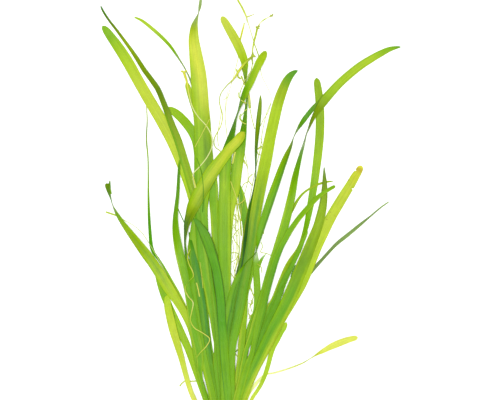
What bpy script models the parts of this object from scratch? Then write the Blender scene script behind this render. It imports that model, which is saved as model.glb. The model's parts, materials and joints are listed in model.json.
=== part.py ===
"""A picked vallisneria plant, laid down on a surface: leaves, flower stalks and crown."""
import math

import bmesh
import bpy
import numpy as np

# Driving dimensions, in millimetres
PX = 0.65               # size of one photo pixel on the plant
CENTRE_X = 226.0        # photo pixel column of the crown
CROWN_TOP = 431.0       # photo pixel row where the leaf bases meet the crown
BLADE_THICK = 0.5       # thickness along the middle of a leaf
GAP = 0.38              # clearance between a piece and what it lies on
CELL = 0.8              # cell of the height map that the pieces are laid on
MAX_STEP = 21.0         # longest distance between two rings of a blade
ROUTE_TOL = 0.37        # how far a blade may leave its traced route
BASE_REACH = 12.5       # how far to the side the outermost leaf base meets the crown
CROWN_LENGTH = 15.0
CROWN_GAP = 1.2
CROWN_WIDTH = 27.0

# Leaves in the order they lie, lowest first.
# Each route starts at the tip: photo x, photo y, full width in pixels, roll in degrees.
LEAVES = [
    ("leaf_right_dusty", "dusty", [
        (388.5, 201.5, 0.9, 0), (380, 207.5, 1.6, 40), (370, 215.8, 3.0, 60), (360, 224, 3.6, 40),
        (348, 234, 3.8, 25), (335, 244.4, 3.8, 50), (323, 258, 3.8, 55), (311, 274, 4.0, 40),
        (290, 308, 5, 0), (262, 356, 6, 0), (242, 400, 6, 0)]),
    ("leaf_low_right_small", "pale", [
        (357, 337.7, 3.2, 0), (350, 339.5, 5.8, 0), (343, 342, 6.8, 0), (336, 344.8, 6.8, 0),
        (330, 347.5, 6.0, 0), (324, 350.8, 4.6, 0), (318, 354, 3.6, 45), (311, 358, 2.8, 75),
        (303, 362.7, 2.4, 60), (289, 368.2, 2.0, 30), (273, 373, 2.0, 0), (261, 378, 2.2, 0),
        (252, 389, 2.4, 0), (246, 400, 3.0, 0)]),
    ("leaf_low_right_blunt", "mid", [
        (286.5, 322.5, 3.2, 0), (284, 327.5, 5.6, 0), (281, 332, 6.0, 0), (277, 340, 5.8, 0),
        (273, 348, 5.2, 0), (270.5, 356, 4.8, 0), (268.5, 364, 4.6, 0), (266.5, 371, 4.6, 0),
        (263.5, 378, 4.5, 0), (260, 384.5, 4.4, 0), (256, 390, 4.2, 0), (248.5, 400, 4.4, 0)]),
    ("leaf_left_edgewise", "grey", [
        (145.5, 102, 1.2, 30), (147.4, 112, 2.6, 60), (146.9, 128, 3.4, 65), (146.6, 140, 3.6, 65),
        (147.6, 158, 3.8, 70), (148.1, 180, 3.8, 60), (148.7, 200, 4.0, 60), (149.5, 220, 4.0, 50),
        (150.7, 235, 4.0, 35), (152.6, 248, 4.2, 30), (156.3, 257, 4.2, 45), (161.5, 265.3, 4.2, 50),
        (170, 280, 5, 20), (182, 303, 6, 0), (196, 340, 6, 0), (206, 375, 6, 0), (212, 400, 6, 0)]),
    ("leaf_left_under", "deep", [
        (155.5, 275, 1.6, 0), (158.3, 282, 5.5, 0), (163, 294, 8.0, 0), (168.5, 307, 8.6, 0),
        (174.5, 320, 8.8, 0), (180.5, 333, 8.6, 0), (186.5, 346, 8.2, 0), (191.5, 359, 7.8, 0),
        (196.5, 372, 7.4, 0), (206, 400, 6.4, 0)]),
    ("leaf_arching_thin", "grey_thin", [
        (133.5, 16.7, 0.8, 0), (140, 19.5, 1.9, 0), (145, 22.9, 2.5, 0), (150, 26.9, 2.8, 0),
        (160, 35.6, 3.0, 0), (170, 46, 3.0, 25), (175, 53, 3.0, 40), (180, 60.4, 3.0, 55),
        (185, 68.7, 3.0, 65), (189, 77, 3.2, 60), (194, 90, 4.0, 30), (200, 115, 5, 0),
        (206, 170, 6, 0), (212, 240, 6, 0), (218, 320, 6, 0), (221, 400, 6, 0)]),
    ("leaf_small_behind_tall", "mid", [
        (186.3, 81.5, 1.2, 0), (187.2, 85, 4.6, 0), (189, 91, 6.0, 0), (192, 100, 6.8, 0),
        (196.5, 114, 7.2, 0), (201, 135, 7.6, 0), (206, 180, 7.6, 0), (211, 250, 7.4, 0),
        (217, 330, 7, 0), (222, 400, 6.4, 0)]),
    ("leaf_arched_left", "mid", [
        (166.5, 107.4, 2.4, 0), (169.5, 109.3, 6.0, 0), (175, 112.9, 7.4, 0), (181, 118.3, 8.0, 0),
        (187, 125, 8.2, 0), (192, 132, 8.4, 0), (195.6, 140, 9.0, 0), (198, 152, 10, 0),
        (200, 170, 11, 0), (201, 200, 11, 0), (201, 240, 10.5, 0), (204, 290, 10, 0),
        (210, 345, 8.5, 0), (218, 400, 7, 0)]),
    ("leaf_left_broad", "bright", [
        (102.6, 25.6, 3.0, 0), (105.5, 29.5, 7.2, 0), (110, 36.2, 9.2, 0), (117, 46.2, 10.6, 0),
        (126.2, 60.4, 11.4, 0), (137.5, 79.5, 11.7, 0), (149, 99.5, 11.8, 0), (161, 121, 11.8, 0),
        (172, 142, 11.8, 0), (182, 165.5, 11.6, 0), (190.5, 190, 11.4, 0), (197, 215, 11, 0),
        (201.5, 245, 10.5, 0), (206, 280, 10, 0), (210, 320, 9, 0), (213, 360, 8, 0), (215, 400, 7, 0)]),
    ("leaf_left_long", "olive", [
        (100.6, 5.3, 1.4, 0), (103, 10.5, 2.2, 20), (109, 19.8, 3.0, 40), (116.5, 30, 3.8, 45),
        (123.5, 40, 4.4, 45), (131, 50.3, 4.8, 42), (137.5, 60, 5.2, 34), (144, 70.2, 5.6, 30),
        (151, 79.6, 5.8, 28), (157.5, 89, 6.0, 25), (162, 99.4, 6.0, 22), (166.3, 110.5, 6.2, 15),
        (171.8, 125, 6.8, 0), (178, 140.5, 7.6, 0), (184, 160, 8.0, 0), (190, 180, 8.2, 0),
        (197, 206, 8.4, 0), (202, 240, 8.6, 0), (207, 280, 8.6, 0), (211, 330, 8, 0), (216, 400, 7, 0)]),
    ("leaf_centre_under", "deep", [
        (205.5, 130, 1.2, 0), (207, 142, 6, 0), (209.5, 162, 8.4, 0), (212.5, 188, 8.8, 0),
        (214.3, 215, 8.6, 0), (216, 245, 8.6, 0), (219, 285, 8.4, 0), (222, 340, 8, 0), (225, 400, 7, 0)]),
    ("leaf_pointed_behind_right", "deep", [
        (238.7, 182.6, 1.0, 0), (240.2, 188.5, 4.0, 0), (242.3, 197, 5.6, 0), (244, 206.5, 6.2, 0),
        (245.6, 218, 6.4, 0), (246.3, 232, 6.6, 0), (245, 250, 6.8, 0), (240, 285, 7, 0),
        (234, 330, 7, 0), (231, 400, 6.4, 0)]),
    ("leaf_small_hooked", "mid", [
        (267, 253.3, 1.0, 0), (263.6, 257.2, 4.2, 0), (259.8, 262.3, 6.0, 0), (257.4, 270, 6.6, 0),
        (257, 285, 6.8, 0), (256.4, 303, 7.4, 0), (253.4, 320, 7.6, 0), (249.5, 337, 7.6, 0),
        (245, 358, 7.2, 0), (239, 400, 6.2, 0)]),
    ("leaf_pale_tip", "pale_tip", [
        (222, 16.2, 3.0, 0), (223.9, 20, 6.4, 0), (227.5, 26.6, 8.2, 0), (232, 34.5, 9.0, 0),
        (236.6, 43, 9.2, 0), (240.6, 52, 9.0, 10), (243.9, 61.5, 8.6, 35), (245.6, 71, 8.2, 62),
        (246.3, 81, 8.0, 78), (246.6, 91, 8.0, 84), (246.2, 101, 8.0, 76), (245.2, 113, 8.2, 66),
        (243.9, 126, 8.8, 50), (241.6, 141, 9.6, 25), (239.3, 155, 10.2, 0), (237, 170, 10.4, 0),
        (234.8, 188, 10.2, 0), (233, 208, 9.8, 0), (231.2, 235, 9.2, 0), (230, 275, 8.6, 0),
        (229.5, 330, 8, 0), (229, 400, 6.8, 0)]),
    ("leaf_strip_right", "bright", [
        (249.5, 244, 1.4, 0), (249.8, 256, 4.6, 0), (249.5, 272, 6.0, 0), (247.6, 292, 6.6, 0),
        (244.8, 315, 6.8, 0), (241.6, 342, 6.8, 0), (238.8, 370, 6.4, 0), (237, 400, 6, 0)]),
    ("leaf_torn_left", "mid", [
        (107, 182.3, 5.0, 0), (108, 187, 5.4, 30), (109.4, 192.5, 5.4, 52), (111.3, 199, 5.4, 76),
        (112.9, 204.6, 5.6, 82), (115.5, 210.5, 6.4, 68), (119, 216.6, 7.4, 56), (124, 224.3, 8.6, 48),
        (130, 232.6, 9.6, 38), (137, 242, 10.6, 28), (144.3, 251.7, 11.4, 15), (152, 262.5, 12, 0),
        (160, 275.5, 12.4, 0), (168, 288, 12.4, 0), (176, 301.5, 12.2, 0), (184, 316.5, 12, 0),
        (191, 333, 11.4, 0), (197, 352, 10.4, 0), (203, 375, 9, 0), (210, 400, 7.4, 0)]),
    ("leaf_low_left_pale", "pale", [
        (167, 295.2, 3.4, 0), (167.5, 299, 6.0, 0), (168.3, 306, 7.4, 0), (170.9, 318, 8.0, 0),
        (174.1, 330.5, 8.0, 0), (178, 343.5, 7.2, 0), (181.8, 356, 6.2, 0), (185, 368, 5.4, 0),
        (188.2, 380, 5.0, 0), (191.2, 390, 4.8, 0), (195.2, 400, 4.8, 0)]),
    ("leaf_tall", "tall", [
        (201.3, -12, 0.9, 0), (200.9, -4, 2.0, 0), (200.2, 3, 3.2, 20), (199.3, 8.5, 4.2, 55),
        (198.4, 12.5, 4.8, 80), (197.1, 16.5, 5.2, 62), (195.7, 21, 6.0, 40), (194.5, 26, 7.6, 22),
        (194, 33, 9.2, 10), (194.2, 41, 10.8, 0), (195.6, 51, 12.4, 0), (197.2, 62, 14.2, 0),
        (199, 76, 15.8, 0), (200.2, 92, 16.6, 0), (201.2, 108, 16.8, 0), (202.4, 124, 17, 0),
        (203.3, 142, 18, 0), (203.4, 160, 18, 0), (203, 180, 17.6, 0), (202.6, 204, 16.4, 0),
        (202.4, 230, 14.4, 0), (203.8, 256, 12.4, 0), (207, 278, 11, 0), (210.6, 298, 10.2, 0),
        (213.4, 320, 9.6, 0), (215, 345, 9, 0), (216.6, 372, 8.2, 0), (218.4, 400, 7.2, 0)]),
    ("leaf_twisted_centre", "deep_edge", [
        (265.2, 50.6, 3.4, 0), (263.3, 54.5, 6.8, 0), (259.8, 60.8, 8.6, 0), (256, 70.5, 9.2, 0),
        (251.6, 80.6, 9.4, 0), (246.8, 89.8, 9.2, 25), (243, 98, 9.0, 48), (239.6, 106, 8.8, 70),
        (237, 113, 8.8, 80), (234.7, 120, 8.8, 74), (232.6, 128, 9.0, 60), (230, 136.3, 9.4, 45),
        (227.6, 145, 10, 30), (225.6, 156, 10.8, 12), (224.4, 170, 11.4, 0), (224.2, 190, 12.2, 0),
        (224.2, 212, 12.8, 0), (224.4, 238, 13, 0), (224.9, 268, 12, 0), (225.7, 300, 10.6, 0),
        (226.4, 345, 9, 0), (227.2, 400, 7, 0)]),
    ("leaf_right_nibbled", "yellow_right", [
        (361, 167, 4.4, 0), (359.2, 171, 7.4, 0), (356, 176.8, 8.6, 0), (351, 185.4, 9.4, 0),
        (345, 195, 10, 0), (339, 204.8, 10.4, 0), (331.6, 217.4, 10.6, 0), (324.6, 231.5, 10.8, 0),
        (317.7, 247, 11, 0), (310.6, 264.8, 11.2, 0), (302.4, 283.6, 11.4, 0), (293.4, 301, 11.6, 0),
        (284, 317, 11.6, 0), (274.5, 333.4, 11.2, 0), (265.6, 350, 10.6, 0), (257, 368, 9.6, 0),
        (249, 386, 8.6, 0), (243.6, 400, 7.6, 0)]),
    ("leaf_right_upright", "bright_right", [
        (316, 77.6, 3.6, 0), (316.6, 81.5, 6.4, 0), (317.8, 88.5, 7.6, 0), (319, 98, 8.2, 0),
        (319.8, 110, 8.6, 0), (319.9, 123, 8.8, 0), (319.4, 137, 8.8, 0), (317.9, 153, 8.6, 0),
        (316, 169, 8.2, 0), (313.8, 185, 7.8, 0), (311, 201, 7.2, 0), (307.8, 217.5, 6.6, 20),
        (304, 233.5, 6.4, 35), (299.5, 248.4, 6.4, 35), (294, 264, 6.4, 25), (287, 281.5, 6.6, 0),
        (275, 308, 7, 0), (261, 342, 7.4, 0), (248, 376, 7, 0), (240, 400, 6.6, 0)]),
    ("leaf_right_sliver", "deep", [
        (307.8, 231, 1.6, 0), (305.2, 237.5, 2.6, 0), (302, 245, 3.4, 0), (299, 252, 4.0, 0),
        (295, 261, 4.4, 0), (289, 274, 5.0, 0), (282, 290, 5.6, 0), (272, 312, 6.2, 0),
        (258, 345, 6.8, 0), (239, 400, 6.2, 0)]),
    ("leaf_right_thin_olive", "olive", [
        (334, 181, 0.8, 0), (326, 181.8, 1.7, 0), (318, 184.2, 1.9, 0), (310, 188.4, 2.0, 0),
        (303.4, 193.2, 2.2, 0), (298.4, 199, 2.6, 0), (294.4, 207.5, 3.2, 0), (291, 217, 3.6, 0),
        (287.4, 228, 3.8, 0), (281, 246, 4.4, 0), (270, 278, 5.4, 0), (256, 325, 6.4, 0), (240, 400, 6, 0)]),
    ("leaf_right_olive", "olive_right", [
        (324.3, 166.6, 0.9, 0), (324.4, 174, 2.8, 0), (324.7, 183, 4.8, 0), (324.3, 194, 6.6, 0),
        (323, 205, 8.0, 0), (320.8, 215.5, 9.0, 0), (317.2, 227, 10.2, 0), (312.4, 239.5, 11.4, 0),
        (306.4, 254.5, 12.4, 0), (299.8, 271.5, 12.8, 0), (291.6, 291.5, 12.8, 0), (282.4, 310.5, 12.6, 0),
        (272.4, 330.5, 12.2, 0), (262.4, 351, 11.2, 0), (253, 370.5, 9.8, 0), (245.6, 387, 8.6, 0),
        (241, 400, 7.4, 0)]),
    ("leaf_dark_left", "deep", [
        (186.8, 229.6, 1.0, 0), (189.2, 236, 3.8, 0), (191.8, 244, 5.4, 0), (194.2, 253.5, 6.6, 0),
        (196.6, 266, 7.2, 0), (199, 282, 7.6, 0), (202, 305, 7.8, 0), (206, 340, 7.4, 0), (214.6, 400, 6.6, 0)]),
    ("leaf_right_dark_upright", "dark", [
        (260.5, 94.8, 0.9, 0), (260.4, 100, 2.8, 0), (259.6, 110, 4.2, 0), (258.1, 124, 5.0, 20),
        (256.7, 138, 5.4, 45), (255.8, 152, 5.6, 62), (255.6, 165, 5.6, 75), (255.3, 177, 5.6, 80),
        (254, 189, 5.8, 70), (251.6, 201, 6.0, 60), (248.9, 213.5, 6.2, 50), (246.6, 226, 6.4, 42),
        (244.6, 240, 6.4, 35), (242.2, 258, 6.6, 20), (238.4, 279, 6.8, 0), (234, 302, 7, 0),
        (230.4, 335, 7, 0), (230, 400, 6.4, 0)]),
    ("leaf_right_broad", "bright_right", [
        (298.8, 70.2, 1.4, 0), (295.6, 71.8, 4.2, 0), (291.4, 75.2, 6.8, 0), (287.6, 80.6, 8.4, 0),
        (284.2, 88, 9.4, 0), (280.8, 97, 10.2, 0), (277.6, 107.5, 10.6, 0), (274.4, 121, 10.9, 0),
        (270.6, 138, 11, 0), (266.8, 156.5, 11, 0), (262.7, 176.5, 10.8, 0), (258.8, 196.5, 10.4, 0),
        (255, 219, 10.2, 0), (251.6, 242, 10.2, 0), (248, 264, 10.4, 0), (243.6, 289, 10.6, 0),
        (239.6, 316, 10.4, 0), (236.4, 346, 9.4, 0), (232.4, 400, 7.2, 0)]),
    ("leaf_right_crossing", "deep_edge", [
        (321.6, 98.2, 1.4, 0), (317.4, 102.4, 4.0, 0), (311.8, 108.4, 5.4, 0), (305.4, 116.6, 5.8, 0),
        (300.4, 124.4, 6.0, 45), (296.2, 131.8, 6.4, 76), (293.3, 138.5, 6.8, 84), (290.6, 145.6, 7.0, 66),
        (286.6, 154.6, 7.2, 45), (281.8, 166.4, 7.4, 28), (276.3, 181.6, 7.8, 15), (270.6, 197.6, 8.2, 0),
        (264.6, 214.6, 8.6, 0), (258.4, 234.4, 8.8, 0), (251.8, 253.4, 9, 0), (244.4, 269.6, 9, 0),
        (237, 285.4, 9, 0), (231, 302, 8.8, 0), (226.6, 324, 8.4, 0), (224.6, 355, 8, 0), (224.4, 400, 6.8, 0)]),
    ("leaf_right_arc", "arc", [
        (400.4, 46.6, 1.2, 0), (396, 47.2, 3.0, 0), (389, 49, 5.0, 0), (380, 53.3, 6.6, 0),
        (370, 59, 7.4, 0), (360, 65.4, 7.9, 0), (349.5, 73.5, 8.4, 0), (339.5, 82.3, 8.8, 0),
        (330.6, 91.8, 9.2, 0), (322.6, 101.4, 9.2, 0), (316.4, 110.6, 8.8, 30), (312, 119, 8.2, 55),
        (309, 127, 7.8, 74), (307, 134, 7.6, 84), (305, 142, 7.6, 76), (302.4, 151, 7.6, 66),
        (299.4, 162, 7.6, 55), (296, 176, 7.8, 38), (292.6, 191.6, 8.0, 20), (288.6, 209, 8.4, 0),
        (284, 227, 8.8, 0), (278.6, 245.4, 9, 0), (273.2, 263, 9.2, 0), (267.2, 284, 9.2, 0),
        (260.6, 309, 9, 0), (253, 337, 8.6, 0), (245, 366, 8, 0), (236.4, 400, 6.8, 0)]),
    ("leaf_right_blunt_thin", "mid", [
        (335.6, 185, 2.0, 0), (330, 188.4, 3.0, 0), (322, 193, 3.5, 0), (314, 199.4, 4.5, 0),
        (306, 208, 4.8, 0), (298, 217, 4.7, 0), (291, 226.5, 4.8, 0), (285, 236, 5.2, 0),
        (279.6, 246.5, 5.6, 0), (275.2, 258, 6.2, 0), (271.2, 274, 6.6, 0), (265.4, 296, 6.8, 0),
        (257, 326, 6.8, 0), (247, 362, 6.6, 0), (238, 400, 6.2, 0)]),
    ("leaf_folded_yellow", "yellow", [
        (244.4, 132, 4.0, 0), (241.6, 135.4, 8.4, 0), (237, 141, 10.4, 0), (231, 147.4, 11.4, 0),
        (224.6, 155.4, 12.4, 0), (218, 163.8, 13.2, 0), (211.2, 173.6, 13.8, 0), (205, 184, 14, 0),
        (199, 194.6, 13.8, 0), (193.6, 205.4, 13, 15), (189.6, 215, 12, 40), (187, 224, 11, 58),
        (185.8, 233, 10, 70), (185.3, 242, 9, 78), (186, 253, 8.2, 70), (188.2, 268, 8, 40),
        (191.4, 288, 8, 10), (195.6, 315, 8, 0), (202, 350, 7.6, 0), (213, 400, 6.8, 0)]),
    ("leaf_left_front", "mid", [
        (180, 158.8, 1.0, 0), (179.2, 168, 3.4, 45), (178.6, 181, 5.0, 52), (177.7, 195, 5.8, 52),
        (176, 209, 6.4, 48), (175.3, 221, 7.0, 38), (176, 232.6, 7.6, 25), (177.8, 244, 8.2, 15),
        (180.2, 256, 8.8, 0), (183.6, 273, 9.2, 0), (187.2, 291, 9.4, 0), (191, 309, 9.4, 0),
        (195.2, 331, 9, 0), (200.4, 357, 8.4, 0), (209.6, 400, 7, 0)]),
    ("leaf_centre_short", "deep_edge", [
        (193.8, 218.6, 1.4, 0), (197, 221.6, 5.4, 0), (201, 227, 7.8, 0), (204.8, 234, 9.2, 0),
        (208.3, 243.6, 9.8, 0), (211.4, 255, 9.9, 0), (214.6, 270, 9.8, 0), (217.8, 286.6, 9.4, 0),
        (220.8, 305, 9, 0), (223, 334, 8.6, 0), (225.6, 368, 8, 0), (228.4, 400, 7, 0)]),
]

# Flower stalks, each with the leaf that it is laid on.
# Each route starts at the flower: photo x, photo y, diameter in pixels.
STALKS = [
    ("stalk_left_thread", "leaf_left_under", [
        (105.5, 212, 1.7), (111, 213.8, 1.7), (116.5, 215.8, 1.5), (125, 220.8, 1.1), (133, 225.2, 1.0),
        (141, 232, 1.0), (149, 243.5, 1.0), (160, 262, 1.1), (178, 296, 1.2), (197, 345, 1.3), (209, 400, 1.5)]),
    ("stalk_left_curling", "leaf_centre_short", [
        (190.4, 249, 1.2), (187.8, 256.4, 1.1), (189.2, 264, 1.1), (192.4, 270.4, 1.1), (193.6, 276, 1.1),
        (188, 282, 1.1), (185.3, 288.5, 1.1), (188.6, 296.6, 1.1), (193.4, 302.6, 1.1), (192.4, 311, 1.1),
        (190.6, 320, 1.1), (194.8, 327.6, 1.1), (203, 332.6, 1.1), (209.2, 337.2, 1.1), (206, 346.4, 1.1),
        (198.4, 354, 1.1), (200, 366, 1.2), (207, 384, 1.2), (211, 400, 1.3)]),
    ("stalk_left_flower", "leaf_tall", [
        (183.6, 71.4, 1.9), (185.6, 77, 2.0), (187.6, 84, 2.0), (189.8, 95, 1.8), (193, 107, 1.2),
        (198.4, 117, 1.1), (206.6, 126.2, 1.1), (211.6, 136.6, 1.1), (211.8, 147, 1.1), (207, 157.4, 1.1),
        (199.4, 167, 1.1), (193, 174.6, 1.1), (194.6, 186, 1.1), (201, 215, 1.2), (207, 255, 1.2),
        (212, 300, 1.2), (216, 350, 1.3), (220, 400, 1.4)]),
    ("stalk_centre_left", "leaf_pale_tip", [
        (257.6, 53.6, 1.4), (251.6, 57.6, 2.0), (245.4, 62.8, 2.2), (239.6, 70, 2.0), (234, 79, 1.8),
        (226.2, 86, 1.3), (220, 94.4, 1.2), (219.2, 103, 1.1), (222.6, 115, 1.1), (221, 125, 1.1),
        (215, 139, 1.1), (216.4, 148.4, 1.1), (222, 160, 1.1), (228, 185, 1.2), (231, 230, 1.2),
        (230, 290, 1.2), (229, 350, 1.3), (228, 400, 1.4)]),
    ("stalk_centre_pale", "leaf_small_behind_tall", [
        (244.6, 21.6, 1.9), (242.2, 30.5, 1.9), (240.2, 40, 1.6), (238.2, 57, 1.1), (233.4, 76, 1.1),
        (228.4, 95, 1.0), (225.2, 114, 1.0), (226.8, 135, 1.0), (230.6, 160, 1.0), (234.6, 192, 1.1),
        (237.4, 215, 1.2), (237, 250, 1.2), (233, 290, 1.2), (230, 350, 1.3), (230, 400, 1.4)]),
    ("stalk_centre_right", "leaf_pointed_behind_right", [
        (271.6, 15.4, 1.1), (264.4, 19.2, 1.1), (259, 24.4, 1.6), (256.4, 32, 2.2), (254, 41.6, 2.2),
        (252.6, 52, 2.0), (251.4, 66, 1.3), (247.6, 77, 1.2), (241.2, 88, 1.1), (240, 98, 1.1),
        (244.4, 109, 1.1), (240.8, 118.4, 1.1), (244, 134, 1.1), (242.4, 152, 1.1), (247, 166, 1.1),
        (247.8, 180, 1.1), (241, 201, 1.1), (238.6, 224, 1.1), (236.6, 262, 1.2), (233, 310, 1.3),
        (231.4, 400, 1.4)]),
    ("stalk_tall", "leaf_small_hooked", [
        (233.6, -9, 1.7), (238, 0, 1.9), (242.2, 7.4, 1.9), (246, 15.2, 1.8), (248.8, 26, 1.2),
        (252.6, 38, 1.1), (257.2, 51, 1.1), (260.4, 64, 1.0), (266.4, 83, 1.0), (271.4, 98, 1.0),
        (265.6, 114, 1.0), (264, 132, 1.0), (261.4, 148, 1.0), (255.4, 170, 1.1), (249.6, 200, 1.1),
        (243.4, 240, 1.2), (239.4, 290, 1.3), (236, 340, 1.3), (234, 400, 1.4)]),
]

COLOURS = {
    "bright": (0.46, 0.65, 0.05), "mid": (0.20, 0.47, 0.04), "deep": (0.08, 0.30, 0.03),
    "deep_edge": (0.14, 0.38, 0.04), "dark": (0.04, 0.16, 0.03), "olive": (0.28, 0.42, 0.05),
    "olive_right": (0.24, 0.42, 0.04), "pale": (0.50, 0.64, 0.12), "pale_tip": (0.45, 0.60, 0.08),
    "yellow": (0.56, 0.62, 0.04), "yellow_right": (0.50, 0.60, 0.05), "bright_right": (0.38, 0.58, 0.05),
    "tall": (0.42, 0.60, 0.05), "arc": (0.34, 0.54, 0.04), "grey": (0.30, 0.44, 0.18),
    "grey_thin": (0.34, 0.52, 0.10), "dusty": (0.22, 0.34, 0.17), "stalk": (0.58, 0.62, 0.10),
    "crown": (0.52, 0.50, 0.26)}


def clear_scene():
    for item in list(bpy.data.objects):
        bpy.data.objects.remove(item, do_unlink=True)


def material(name, colour):
    found = bpy.data.materials.get(name)
    if found:
        return found
    made = bpy.data.materials.new(name)
    made.use_nodes = True
    shader = made.node_tree.nodes["Principled BSDF"]
    shader.inputs["Base Color"].default_value = (*colour, 1.0)
    shader.inputs["Roughness"].default_value = 0.42
    made.diffuse_color = (*colour, 1.0)
    return made


def to_plant(route):
    """Photo pixels to millimetres, with the base running into the crown."""
    rows = [list(map(float, row)) for row in route]
    last = rows[-1]
    lean = last[0] - CENTRE_X
    reach = BASE_REACH / PX
    at_crown = reach * math.tanh(lean * 0.72 / reach)
    rows.append([CENTRE_X + lean * 0.45 + at_crown * 0.55, 415.5, last[2] * 0.80] + last[3:])
    rows.append([CENTRE_X + at_crown, CROWN_TOP, last[2] * 0.64] + last[3:])
    out = np.array(rows)
    out[:, 0] = (out[:, 0] - CENTRE_X) * PX
    out[:, 1] = (CROWN_TOP - out[:, 1]) * PX
    out[:, 2] *= PX
    return out


def curve(points, step=1.0):
    """Smooth curve through the rows of a route, all columns at once."""
    ends = np.vstack([2 * points[0] - points[1], points, 2 * points[-1] - points[-2]])
    legs = np.hypot(*np.diff(ends[:, :2], axis=0).T)
    knots = np.concatenate([[0.0], np.cumsum(np.sqrt(legs))])
    out = []
    for i in range(1, len(ends) - 2):
        a, b, c, d = ends[i - 1:i + 3]
        ta, tb, tc, td = knots[i - 1:i + 3]
        into = (b - a) / (tb - ta) - (c - a) / (tc - ta) + (c - b) / (tc - tb)
        away = (c - b) / (tc - tb) - (d - b) / (td - tb) + (d - c) / (td - tc)
        into, away = into * (tc - tb), away * (tc - tb)
        count = max(2, int(math.ceil(legs[i] / step)))
        for u in np.linspace(0.0, 1.0, count, endpoint=False):
            out.append((2 * u**3 - 3 * u**2 + 1) * b + (u**3 - 2 * u**2 + u) * into
                       + (3 * u**2 - 2 * u**3) * c + (u**3 - u**2) * away)
    out.append(ends[-2])
    return np.array(out)


def thin_out(line, tolerance, longest):
    """Indices of the samples that keep the line within a tolerance."""
    scale = np.ones(line.shape[1])
    scale[2] = 0.5
    if line.shape[1] > 3:
        scale[3] = 0.045
    pts = line * scale
    keep = {0, len(pts) - 1}
    todo = [(0, len(pts) - 1)]
    while todo:
        a, b = todo.pop()
        if b - a < 2:
            continue
        t = np.linspace(0, 1, b - a + 1)[:, None]
        away = np.abs(pts[a:b + 1] - (pts[a] * (1 - t) + pts[b] * t))
        off = np.hypot(away[:, 0], away[:, 1]) + away[:, 2:].sum(axis=1)
        length = np.hypot(*(line[b, :2] - line[a, :2]))
        worst = int(np.argmax(off))
        if off[worst] < tolerance and length < longest:
            continue
        middle = a + (worst if off[worst] >= tolerance else (b - a) // 2)
        middle = min(max(middle, a + 1), b - 1)
        keep.add(middle)
        todo += [(a, middle), (middle, b)]
    return sorted(keep)


class Heap:
    """Height of the top of what has been laid down so far."""

    def __init__(self, low, high):
        self.low = np.array(low) - 12.0
        size = np.ceil((np.array(high) + 12.0 - self.low) / CELL).astype(int) + 1
        self.top = np.zeros(size)

    def cell(self, xy):
        return np.clip(np.round((xy - self.low) / CELL).astype(int), 1, np.array(self.top.shape) - 2)

    def over(self, xy):
        i, j = self.cell(xy).T
        best = self.top[i, j]
        for di in (-1, 0, 1):
            for dj in (-1, 0, 1):
                best = np.maximum(best, self.top[i + di, j + dj])
        return best

    def add(self, xy, height):
        i, j = self.cell(xy).T
        np.maximum.at(self.top, (i, j), height)


def section(width, thick, roll):
    """Points across a blade: six corners, as offsets to the side and up."""
    half = width / 2
    corners = [(-half, 0.0), (-half * 0.55, -thick / 2), (half * 0.55, -thick / 2),
               (half, 0.0), (half * 0.55, thick / 2), (-half * 0.55, thick / 2)]
    c, s = math.cos(math.radians(roll)), math.sin(math.radians(roll))
    return [(u * c - v * s, u * s + v * c) for u, v in corners]


def side_of(xy):
    d = np.gradient(xy, axis=0)
    d /= np.maximum(np.hypot(d[:, 0], d[:, 1]), 1e-9)[:, None]
    return np.stack([-d[:, 1], d[:, 0]], axis=1)


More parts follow.
